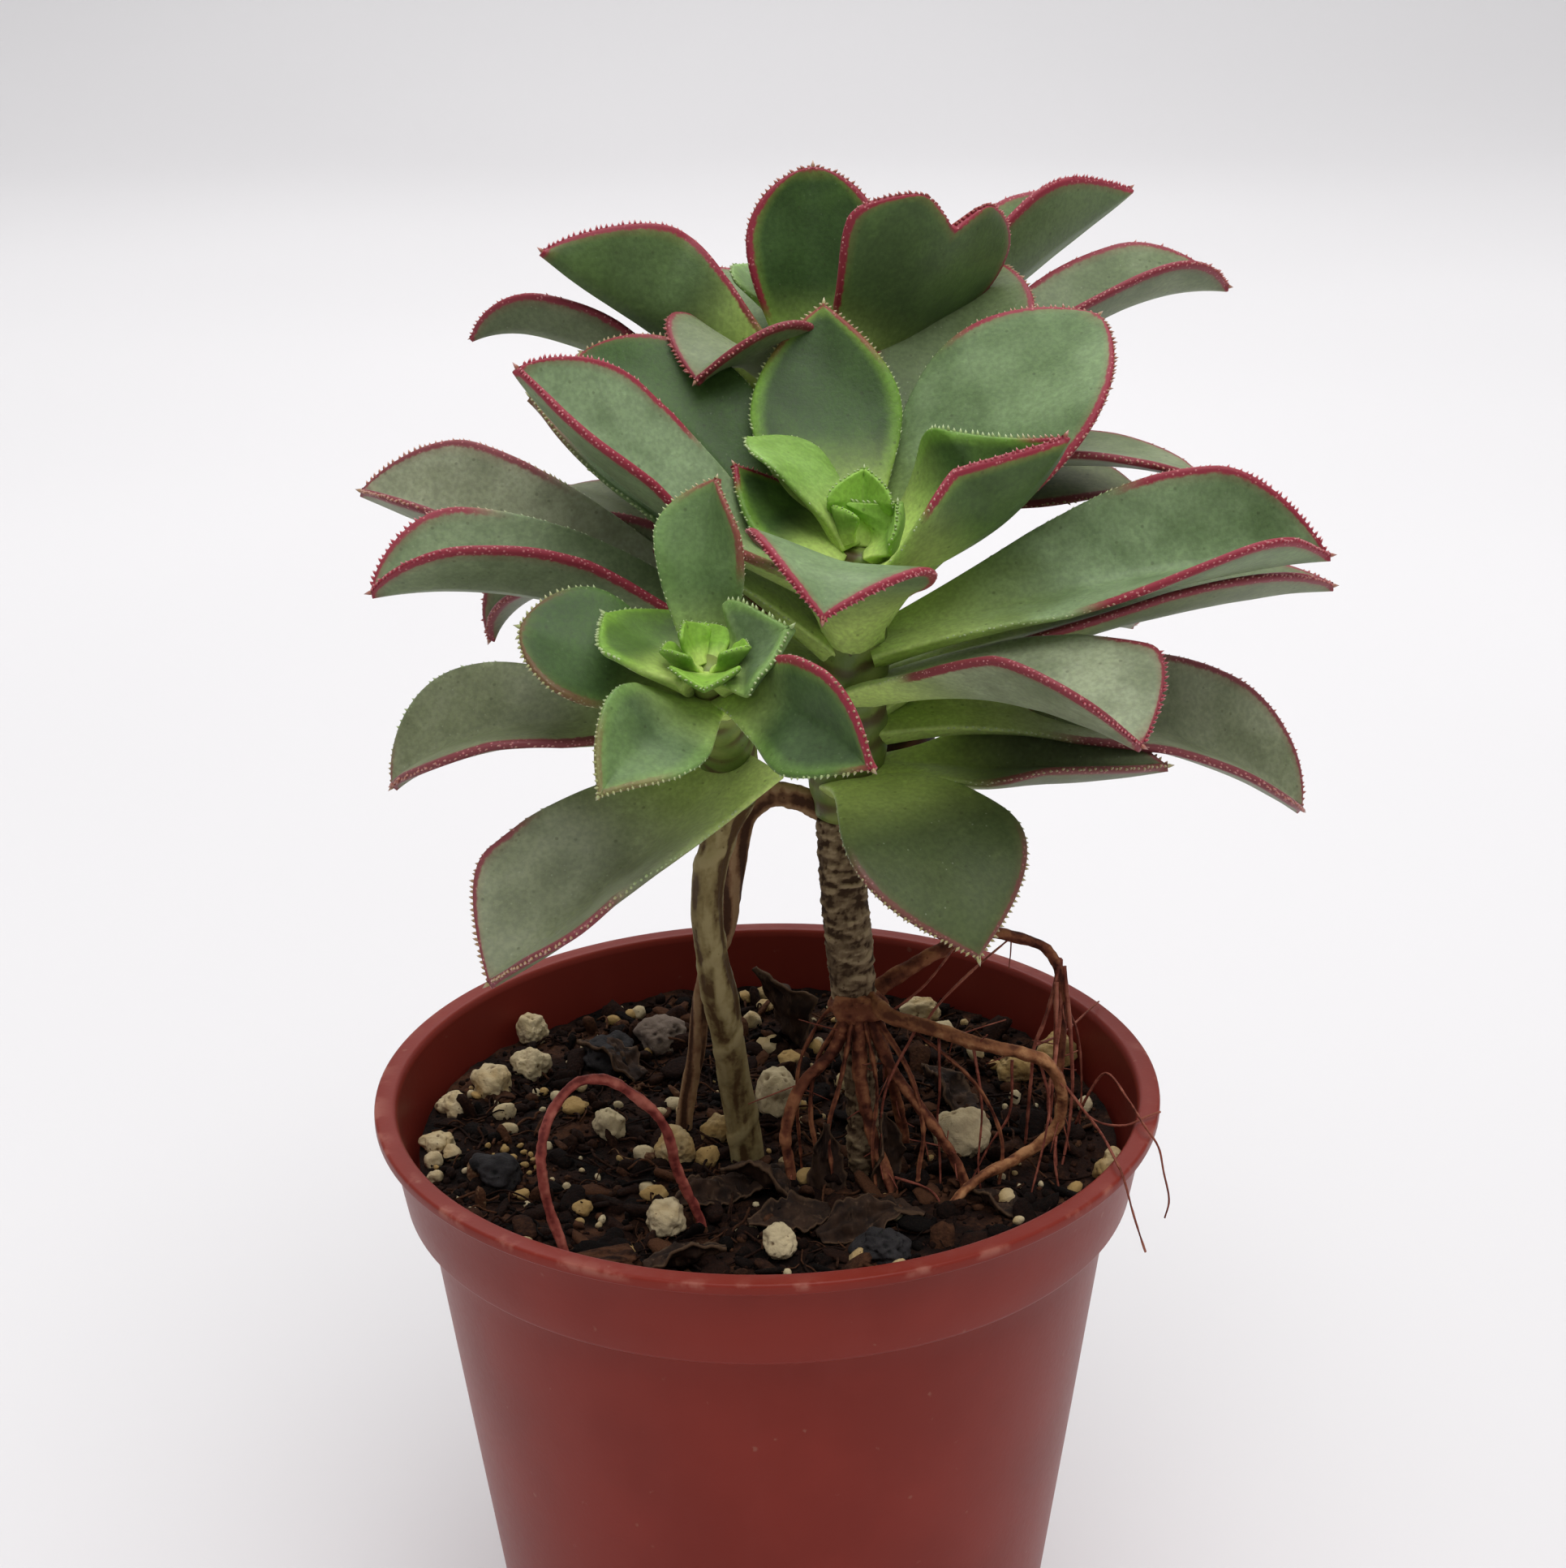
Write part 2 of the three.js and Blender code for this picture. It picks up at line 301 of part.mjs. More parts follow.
function stemTip(h, grow = 0) {
  const pts = [], r = [];
  for (let i = 0; i <= 5; i++) {
    const l = h.low + (STEM_TIP_END - h.low) * (i / 5), q = headAxis(h, l);
    pts.push([q.x, q.y, q.z]);
    r.push(l < 0 ? h.r + (h.neck - h.r) * (l / h.low) : h.r * (1 - 0.62 * l * l));
  }
  return tube({ pts, r }, 10, 8, grow);
}

function head(name, grow = 0) {
  const h = HEADS[name];
  return Manifold.union([stemTip(h, grow), ...LEAVES[name].map((q) => leafSolid(q, leafRoot(h, q), grow))]);
}

// ---------------------------------------------------------------- pot
const potOuter = [
  [0, 0], [POT_BASE_R - 0.8, 0], [POT_BASE_R, 0.8], [POT_BODY_TOP_R, POT_BAND_Z],
  [POT_BAND_LOW_R, POT_BAND_Z + 0.25], [POT_BAND_TOP_R, POT_HEIGHT - POT_LIP_THICK],
  [POT_LIP_R, POT_HEIGHT - POT_LIP_THICK + 0.3], [POT_LIP_R, POT_HEIGHT],
];
const potInner = [
  [POT_LIP_R - POT_LIP_RING, POT_HEIGHT], [POT_BAND_TOP_R - POT_WALL, POT_HEIGHT - 0.6],
  [POT_BAND_LOW_R - POT_WALL, POT_BAND_Z + 1.6], [POT_BODY_TOP_R - POT_WALL, POT_BAND_Z + 0.6],
  [POT_BASE_R - POT_WALL - 0.5, POT_FLOOR], [0, POT_FLOOR],
];
const lathe = (profile, sides) => {
  const g = new THREE.LatheGeometry([...profile, profile[0]].map(([r, z]) => new THREE.Vector2(r, z)), sides);
  g.rotateX(Math.PI / 2);
  return g;
};
// the room inside the pot, a clearance smaller, open upward
function potRoom(top) {
  const p = [[0, top], [POT_BAND_TOP_R - POT_WALL - GAP, top], [POT_BAND_TOP_R - POT_WALL - GAP, POT_HEIGHT - 0.6],
    [POT_BAND_LOW_R - POT_WALL - GAP, POT_BAND_Z + 1.6], [POT_BODY_TOP_R - POT_WALL - GAP, POT_BAND_Z + 0.7],
    [POT_BASE_R - POT_WALL - 0.1 - GAP, POT_FLOOR + 0.8 + GAP], [POT_BASE_R - POT_WALL - 1 - GAP, POT_FLOOR + GAP], [0, POT_FLOOR + GAP]];
  return solid(lathe(p.reverse(), SOIL_SIDES));
}
let pot = solid(lathe([...potOuter, ...potInner], POT_SIDES));
for (let i = 0; i < DRAIN_COUNT; i++) {
  const a = (i / DRAIN_COUNT) * 2 * Math.PI + 0.3;
  const hole = new THREE.CylinderGeometry(DRAIN_R, DRAIN_R, 8, 12);
  hole.rotateX(Math.PI / 2);
  hole.translate(DRAIN_RING_R * Math.cos(a), DRAIN_RING_R * Math.sin(a), 0);
  pot = pot.subtract(solid(hole));
}

// ---------------------------------------------------------------- stems and roots
const scar = (t, a) => 1 + 0.045 * Math.sin(t * 95 + 1.3 * Math.sin(a));
const twist = (t, a) => 1 + 0.14 * Math.cos(2 * a + t * 26);
const node = (t, a) => 1 + 0.05 * Math.cos(3 * a + 5 * t);
const trunkOf = (g) => Manifold.union([tube(TRUNK, 10, 20, g, g ? null : scar), tube(TRUNK_FORK, 8, 12, g, null)]);
const trunkRaw = trunkOf(0), trunkBig = trunkOf(GAP + 0.1);
const sideStemRaw = tube(SIDE_STEM, 8, 22, 0, node), sideStemBig = tube(SIDE_STEM, 8, 22, GAP + 0.1);
const driedRaw = tube(DRIED_STEM, 8, 24, 0, twist), driedBig = tube(DRIED_STEM, 8, 24, GAP + 0.18);
const archRaw = tube(ARCH_ROOT, 6, 24), archBig = tube(ARCH_ROOT, 6, 24, GAP);
function rootsOf(g) {
  const collar = new THREE.IcosahedronGeometry(1, 1);
  collar.scale(...ROOT_COLLAR.r.map((r) => r + g));
  collar.translate(...ROOT_COLLAR.at);
  return Manifold.union([solid(collar), ...TRUNK_ROOTS.map((s) => tube(s, 5, Math.max(6, Math.round(s.pts.length * 1.5)), g))]);
}
const rootsRaw = rootsOf(0), rootsBig = rootsOf(GAP);

// ---------------------------------------------------------------- stones and scraps
function stone(row, seed, grow = 0) {
  const [x, y, z, a, b, c] = row, R = rng(seed);
  let g = new THREE.IcosahedronGeometry(1, Math.max(a, b) > 2.35 ? 1 : 0);
  g.deleteAttribute('normal'); g.deleteAttribute('uv');
  g = mergeVertices(g, 1e-4);
  const pos = g.attributes.position;
  for (let i = 0; i < pos.count; i++) {
    const k = 0.86 + 0.26 * R();
    pos.setXYZ(i, pos.getX(i) * (a * k + grow), pos.getY(i) * (b * k + grow), pos.getZ(i) * (c * k + grow));
  }
  g.rotateZ(R() * 6.28);
  g.translate(x, y, z);
  return solid(g);
}
const scrapOf = (q, g = 0) => leafSolid({ ...q, base: 0.6, peak: 0.45, s: 1 }, V(q.root), g);

// ---------------------------------------------------------------- assembly
const material = (color, roughness, metalness = 0) => new THREE.MeshStandardMaterial({ color, roughness, metalness, flatShading: true });
const MAT = {
  pot: material(0x8a3226, 0.42), soil: material(0x2a1d15, 0.95), bark: material(0x8a7a66, 0.85),
  tan: material(0x9a9268, 0.7), dry: material(0x7c5a3a, 0.85), root: material(0x8c3a33, 0.6), rootBrown: material(0x7a4430, 0.8),
  leaf: material(0x5f7d4c, 0.5), leafYoung: material(0x86a850, 0.5), pumice: material(0xd9cfb4, 0.9),
  scoria: material(0x2b2a2c, 0.95), chip: material(0x5b3a24, 0.9), dead: material(0x3a2c26, 0.9),
};
const plant = new THREE.Group();
const taken = [];               // grown copies of what is already placed
function place(name, raw, mat, big, cut = taken) {
  let m = raw;
  for (const c of cut) m = m.subtract(c);
  m = biggest(m);
  const mesh = new THREE.Mesh(toGeometry(m), mat);
  mesh.name = name;
  plant.add(mesh);
  if (big) taken.push(big);
  return m;
}

place('pot', pot, MAT.pot, null, []);
place('trunk', trunkRaw, MAT.bark, trunkBig);
place('side_stem', sideStemRaw, MAT.tan, sideStemBig);
place('dried_stem', driedRaw, MAT.dry, driedBig);
place('arch_root', archRaw, MAT.root, archBig);
place('trunk_roots', rootsRaw, MAT.rootBrown, rootsBig);

const room = potRoom(92), stones = [];
PUMICE.forEach((row, i) => stones.push([`pumice_${String(i + 1).padStart(2, '0')}`, row, 11 + i, MAT.pumice]));
DARK_LUMPS.forEach((row, i) => stones.push([`scoria_${i + 1}`, row, 51 + i, MAT.scoria]));
stones.push(['grey_lump', GREY_LUMP, 61, MAT.dry], ['bark_chip', BARK, 71, MAT.chip]);
// a plain round pocket in the soil under a stone
function pocket([x, y, z, a, b, c]) {
  const r = 1.13 * Math.max(a, b) + GAP, h = 12 + 1.13 * c + GAP;
  const g = new THREE.CylinderGeometry(r, r, h, 6);
  g.rotateX(Math.PI / 2);
  g.translate(x, y, z - 1.13 * c - GAP + h / 2);
  return solid(g);
}
for (const [name, row, seed, mat] of stones) place(name, stone(row, seed).intersect(room), mat, stone(row, seed, GAP));
SCRAPS.forEach((q, i) => place(`dead_leaf_${i + 1}`, scrapOf(q).intersect(room), MAT.dead, scrapOf(q, GAP)));

// soil: relief on top, small grit raised from it, plain holes for what stands in it
function soil() {
  const R = rng(7), ph = [R() * 6, R() * 6, R() * 6, R() * 6];
  const lift = (x, y) => SOIL_Z + 0.55 * Math.sin(x * 0.31 + ph[0]) * Math.cos(y * 0.27 + ph[1]) + 0.35 * Math.sin(x * 0.83 + ph[2]) * Math.sin(y * 0.71 + ph[3]);
  const ring = (r, z) => Array.from({ length: SOIL_SIDES }, (_, j) => {
    const a = (j / SOIL_SIDES) * 2 * Math.PI, x = r * Math.cos(a), y = r * Math.sin(a);
    return new THREE.Vector3(x, y, z ?? lift(x, y) + (R() - 0.5) * 0.5);
  });
  const c = GAP + 0.15;
  const rings = [ring(POT_BASE_R - POT_WALL - 1 - c, POT_FLOOR + c), ring(POT_BASE_R - POT_WALL - 0.1 - c, POT_FLOOR + 0.8 + c),
    ring(POT_BODY_TOP_R - POT_WALL - c, POT_BAND_Z + 0.7), ring(POT_BAND_LOW_R - POT_WALL - c, POT_BAND_Z + 2)];
  rings.push(rings[3].map((v) => new THREE.Vector3(v.x * 1.002, v.y * 1.002, lift(v.x, v.y) + 0.4)));
  for (let i = SOIL_RINGS.length - 1; i >= 0; i--) rings.push(ring(SOIL_RINGS[i]));
  const grit = [];
  for (let i = 0; i < SOIL_GRIT; i++) {
    const a = R() * 6.28, r = 34 * Math.sqrt(R()), x = r * Math.cos(a), y = r * Math.sin(a), k = 0.8 + 0.7 * R();
    const g = new THREE.IcosahedronGeometry(k, 0);
    g.rotateZ(R() * 6); g.rotateX(R() * 6);
    g.translate(x, y, lift(x, y) + 0.15 * k);
    grit.push(solid(g));
  }
  return Manifold.union([solid(loft(rings)), ...grit]);
}
// plain upright holes where stems and roots go into the soil
const holes = [rootsBig, ...stones.map(([, row]) => pocket(row)), ...SCRAPS.map((q) => scrapOf(q, GAP))];
for (const spec of [TRUNK, SIDE_STEM, DRIED_STEM, ARCH_ROOT]) {
  for (const k of [0, spec.pts.length - 1]) {
    const [x, y, z] = spec.pts[k];
    if (z > 66) continue;
    const r = (spec.r[k] ?? spec.r[0]) * 1.14 + GAP + 0.14, g = new THREE.CylinderGeometry(r, r, 30, 8);
    g.rotateX(Math.PI / 2);
    g.translate(x, y, z + 15 - GAP);
    holes.push(solid(g));
  }
}
place('potting_soil', soil(), MAT.soil, null, holes);

place('rosette_front', head('front'), MAT.leaf, null, [trunkBig, sideStemBig, driedBig]);
place('rosette_side', head('side'), MAT.leafYoung, null, [trunkBig, sideStemBig, driedBig, head('front', GAP / 2 + 0.05)]);
place('rosette_back', head('back'), MAT.leaf, null, [trunkBig, head('front', GAP / 2 + 0.05)]);

export default plant;
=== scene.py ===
"""Potted aeonium: the finish of every leaf, stem, root, stone and the pot.

Lengths are in millimetres here and become metres where a mesh is made.
+Z is up, -Y is the front, and the origin is the centre of the pot's base.
"""
import math
from itertools import product

import bmesh
import bpy
import numpy as np
from mathutils import Matrix, Vector


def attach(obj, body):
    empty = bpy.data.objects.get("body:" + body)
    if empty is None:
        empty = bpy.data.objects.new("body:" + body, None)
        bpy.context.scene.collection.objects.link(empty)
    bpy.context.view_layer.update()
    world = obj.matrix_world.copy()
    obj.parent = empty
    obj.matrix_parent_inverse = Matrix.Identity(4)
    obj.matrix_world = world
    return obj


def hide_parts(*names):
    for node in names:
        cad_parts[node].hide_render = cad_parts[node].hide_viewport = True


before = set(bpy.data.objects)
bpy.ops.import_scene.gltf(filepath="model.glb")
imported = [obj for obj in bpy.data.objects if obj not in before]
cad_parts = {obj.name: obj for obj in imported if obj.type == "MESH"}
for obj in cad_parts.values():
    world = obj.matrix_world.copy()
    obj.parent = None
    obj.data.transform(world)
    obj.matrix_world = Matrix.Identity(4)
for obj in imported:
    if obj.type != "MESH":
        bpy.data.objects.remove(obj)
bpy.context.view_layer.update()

MM = 0.001
BODY = "root"
UP = np.array([0.0, 0.0, 1.0])
SIDEWAYS = np.array([1.0, 0.0, 0.0])
WHOLE_TURN = 6.28       # upper end of every random heading, in radians


# ------------------------------------------------------------------ numbers
def clamp(value, low=0.0, high=1.0):
    return np.minimum(high, np.maximum(low, value))


def smooth(low, high, value):
    """0 below low, 1 above high, and a soft step between them."""
    t = clamp((value - low) / (high - low))
    return t * t * (3 - 2 * t)


def unit(vectors):
    length = np.linalg.norm(vectors, axis=-1, keepdims=True)
    return vectors / np.maximum(length, 1e-9)


def lumps(points, size, seed=0):
    """Smooth random values from -1 to 1 at points, in lumps about size mm wide."""
    p = np.asarray(points, float) / size + 97.3 + 13.7 * seed
    cell = np.floor(p).astype(np.int64)
    f = p - cell
    f = f * f * (3 - 2 * f)
    total = np.zeros(len(p))
    # a whole-number hash of each corner of the cell, blended by its nearness
    for corner in product((0, 1), repeat=3):
        c = cell + np.array(corner)
        h = (c[:, 0] * 73856093) ^ (c[:, 1] * 19349663) ^ (c[:, 2] * 83492791) ^ (seed * 6689 + 17)
        h = ((h & 0xFFFFFFFF) ^ ((h & 0xFFFFFFFF) >> 13)) * 1274126177 & 0xFFFFFFFF
        value = ((h ^ (h >> 16)) & 0xFFFF) / 32767.5 - 1
        weight = np.prod(np.where(np.array(corner) == 1, f, 1 - f), axis=1)
        total += value * weight
    return total


def rough(points, size, seed=0, layers=3):
    """lumps at several sizes, each half as wide and half as high as the last."""
    return sum(lumps(points, size / 2**k, seed + k) / 2**k for k in range(layers))


def curve(points, count):
    """count points evenly along a smooth centripetal curve through the given ones."""
    p = [np.array(q, float) for q in points]
    p = [2 * p[0] - p[1]] + p + [2 * p[-1] - p[-2]]
    found = [p[1]]
    for a, b, c, d in zip(p, p[1:], p[2:], p[3:]):
        ta, tb, tc = (max(np.linalg.norm(v - u), 1e-6) ** 0.5 for u, v in ((a, b), (b, c), (c, d)))
        m1 = ((b - a) / ta - (c - a) / (ta + tb) + (c - b) / tb) * tb
        m2 = ((c - b) / tb - (d - b) / (tb + tc) + (d - c) / tc) * tb
        for t in np.linspace(0, 1, 25)[1:]:
            found.append(
                b + m1 * t + (3 * (c - b) - 2 * m1 - m2) * t**2 + (2 * (b - c) + m1 + m2) * t**3
            )
    found = np.array(found)
    run = np.concatenate([[0], np.cumsum(np.linalg.norm(np.diff(found, axis=0), axis=1))])
    at = np.linspace(0, run[-1], count)
    return np.stack([np.interp(at, run, found[:, k]) for k in range(3)], 1)


def spread(values, count):
    """A short list of values, read evenly at count places."""
    return np.interp(np.linspace(0, 1, count), np.linspace(0, 1, len(values)), values)


# ------------------------------------------------------------------ meshes
def put(name, data):
    """A new object in the scene with the given mesh, lamp or camera data."""
    made = bpy.data.objects.new(name, data)
    bpy.context.scene.collection.objects.link(made)
    return made


def make_piece(name, points, faces, finish, nodes, slot, **masks):
    """A mesh piece that rides on the plant and stands for the named solids."""
    mesh = bpy.data.meshes.new(name)
    mesh.from_pydata((np.asarray(points) * MM).tolist(), [], faces)
    mesh.polygons.foreach_set("use_smooth", [True] * len(mesh.polygons))
    for mask, values in masks.items():
        layer = mesh.attributes.new(mask, "FLOAT", "POINT")
        layer.data.foreach_set("value", np.broadcast_to(values, len(mesh.vertices)).astype(np.float32))
    mesh.materials.append(finish)
    mesh.update()
    made = put(name, mesh)
    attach(made, BODY)
    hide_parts(*nodes)
    return made


def ring_faces(rings, sides, closed_ends=True):
    """Quads between rings of equal point counts, with the two ends closed."""
    faces = []
    for i in range(rings - 1):
        for j in range(sides):
            a = i * sides + j
            b = i * sides + (j + 1) % sides
            faces.append((a, b, b + sides, a + sides))
    if closed_ends:
        faces.append(tuple(reversed(range(sides))))
        faces.append(tuple((rings - 1) * sides + j for j in range(sides)))
    return faces


class Shape:
    """Points, faces and masks gathered for one piece."""

    def __init__(self):
        self.points, self.faces, self.masks, self.count = [], [], {}, 0

    def add(self, points, faces, **masks):
        self.points.append(np.asarray(points, float))
        self.faces += [tuple(k + self.count for k in face) for face in faces]
        self.count += len(points)
        for mask, values in masks.items():
            self.masks.setdefault(mask, []).append(np.broadcast_to(values, len(points)))

    def piece(self, name, finish, nodes, slot):
        masks = {mask: np.concatenate(values) for mask, values in self.masks.items()}
        make_piece(name, np.concatenate(self.points), self.faces, finish, nodes, slot, **masks)


def tube(points, radii, sides, count, shape=None):
    """Points and faces of a tube along a curve, and its relief.

    shape(along, around, points) gives the relief: what is added to the radius, in mm."""
    path = curve(points, count)
    ahead = unit(np.gradient(path, axis=0))
    side = np.zeros_like(path)
    start = np.cross(ahead[0], UP if abs(ahead[0][2]) < 0.9 else SIDEWAYS)
    for i in range(count):
        start = start - ahead[i] * start.dot(ahead[i])
        start = start / np.linalg.norm(start)
        side[i] = start
    other = np.cross(ahead, side)
    turn = np.linspace(0, 2 * math.pi, sides, endpoint=False)
    out = side[:, None] * np.cos(turn)[None, :, None] + other[:, None] * np.sin(turn)[None, :, None]
    radius = np.repeat(spread(radii, count)[:, None], sides, 1)
    skin = path[:, None] + out * radius[..., None]
    lift = np.zeros(count * sides)
    if shape:
        along, around = np.repeat(np.linspace(0, 1, count), sides), np.tile(turn, count)
        lift = shape(along, around, skin.reshape(-1, 3))
        skin = skin + out * lift.reshape(count, sides)[..., None]
    return skin.reshape(-1, 3), ring_faces(count, sides), lift


def ball(level):
    """Points and triangles of a unit icosphere."""
    made = bmesh.new()
    bmesh.ops.create_icosphere(made, subdivisions=level, radius=1.0)
    points = np.array([v.co[:] for v in made.verts])
    faces = [tuple(v.index for v in f.verts) for f in made.faces]
    made.free()
    return points, faces


BALLS = {level: ball(level) for level in (1, 2, 3, 5)}


# ------------------------------------------------------------------ shaders
def feed(tree, socket, value):
    """Set an input to a plain value or colour, or link it to another node's output."""
    if isinstance(value, bpy.types.NodeSocket):
        tree.links.new(value, socket)
    else:
        socket.default_value = (*value, 1) if socket.type == "RGBA" else value


def node(tree, kind, values=None, **settings):
    """A shader node with its settings, and its inputs set or linked."""
    made = tree.nodes.new("ShaderNode" + kind)
    for name, value in settings.items():
        setattr(made, name, value)
    for key, value in (values or {}).items():
        feed(tree, made.inputs[key], value)
    return made


def mask(tree, name):
    return node(tree, "Attribute", attribute_name=name).outputs["Fac"]


def mix(tree, factor, first, second, blend="MIX"):
    made = node(tree, "Mix", data_type="RGBA", blend_type=blend, clamp_factor=True)
    for key, value in ((0, factor), (6, first), (7, second)):
        feed(tree, made.inputs[key], value)
    return made.outputs[2]


def maths(tree, operation, *values):
    return node(tree, "Math", dict(enumerate(values)), operation=operation).outputs[0]


def times(tree, first, second):
    return maths(tree, "MULTIPLY", first, second)


def between(tree, value, low, high, to_low=0.0, to_high=1.0):
    """value from low to high becomes to_low to to_high, in a soft step."""
    made = node(
        tree,
        "MapRange",
        {"Value": value, "From Min": low, "From Max": high, "To Min": to_low, "To Max": to_high},
        interpolation_type="SMOOTHSTEP",
    )
    return made.outputs["Result"]


def place(tree, stretch=(1, 1, 1)):
    """The surface's own place in mm, stretched."""
    where = node(tree, "TexCoord").outputs["Object"]
    scale = tuple(1000.0 * s for s in stretch)
    return node(tree, "Mapping", {"Vector": where, "Scale": scale}).outputs["Vector"]


def noise(tree, size, where=None, detail=3.0, roughness=0.55):
    """Noise with features about size mm wide."""
    values = {
        "Vector": where or place(tree),
        "Scale": 1.0 / size,
        "Detail": detail,
        "Roughness": roughness,
    }
    return node(tree, "TexNoise", values).outputs["Fac"]


def dots(tree, size, reach):
    """1 in small round dots about size mm apart, and 0 between them."""
    cells = node(tree, "TexVoronoi", {"Vector": place(tree), "Scale": 1.0 / size})
    return between(tree, cells.outputs["Distance"], reach, reach * 0.4)


def bump(tree, height, depth, strength):
    """depth is in mm."""
    values = {"Height": height, "Distance": depth * MM, "Strength": strength}
    return node(tree, "Bump", values).outputs["Normal"]


def new_finish(name, **plain):
    """An empty material with one Principled shader, and its plain values."""
    made = bpy.data.materials.new(name)
    made.use_nodes = True
    shader = made.node_tree.nodes["Principled BSDF"]
    for key, value in plain.items():
        shader.inputs[key.replace("_", " ")].default_value = value
    return made, made.node_tree, shader


def group(name, inputs, outputs):
    """An empty node group with named inputs, which are numbers or colours, and named outputs."""
    made = bpy.data.node_groups.new(name, "ShaderNodeTree")
    for key, value in inputs.items():
        colour = isinstance(value, tuple)
        kind = "Color" if colour else "Float"
        socket = made.interface.new_socket(key, in_out="INPUT", socket_type="NodeSocket" + kind)
        socket.default_value = (*value, 1) if colour else value
    for key, kind in outputs.items():
        made.interface.new_socket(key, in_out="OUTPUT", socket_type="NodeSocket" + kind)
    return made, made.nodes.new("NodeGroupInput"), made.nodes.new("NodeGroupOutput")


def use(tree, kind, **values):
    """A node group placed in a material with its own values."""
    made = tree.nodes.new("ShaderNodeGroup")
    made.node_tree = kind
    for key, value in values.items():
        feed(tree, made.inputs[key], value)
    return made.outputs


def dress(tree, end, **sockets):
    """Link what is worked out for a surface to a shader or to a group's outputs."""
    for key, value in sockets.items():
        tree.links.new(value, end.inputs[key.replace("_", " ")])


TONES = ("Cloud", "Grain", "Speck")


def make_mottle():
    """Uneven tone that every natural surface here has: broad cloud, fine grain and dark specks."""
    made, given, out = group("mottle", dict(zip(TONES, (6.0, 0.8, 2.4))), dict.fromkeys(TONES, "Float"))
    where = place(made)
    for key in ("Cloud", "Grain"):
        scale = maths(made, "DIVIDE", 1.0, given.outputs[key])
        field = node(made, "TexNoise", {"Vector": where, "Scale": scale, "Detail": 3.0})
        made.links.new(field.outputs["Fac"], out.inputs[key])
    scale = maths(made, "DIVIDE", 1.0, given.outputs["Speck"])
    cells = node(made, "TexVoronoi", {"Vector": where, "Scale": scale})
    speck = between(made, cells.outputs["Distance"], 0.14, 0.06)
    made.links.new(speck, out.inputs["Speck"])
    return made


MOTTLE = make_mottle()


# ------------------------------------------------------------------ leaf finish
LIME = (0.265, 0.50, 0.045)
GREEN = (0.072, 0.158, 0.026)
OLIVE = (0.120, 0.145, 0.055)
DEEP = (0.023, 0.056, 0.011)
PALE_FOOT = (0.56, 0.72, 0.19)
# colours of the waxy film, which also carry painted sheen
WAX_AND_SHEEN = (0.215, 0.300, 0.155)
OLD_WAX_AND_SHEEN = (0.330, 0.350, 0.235)
LEAF_BACK = (0.095, 0.165, 0.040)
OLD_LEAF_BACK = (0.175, 0.200, 0.110)
CRIMSON = (0.285, 0.026, 0.046)
OLD_CRIMSON = (0.215, 0.048, 0.056)
RUST = (0.16, 0.060, 0.030)


# what the mesh of a leaf says of each of its points
LEAF_MASKS = ("along", "rim", "under", "age", "red", "wax", "shade")


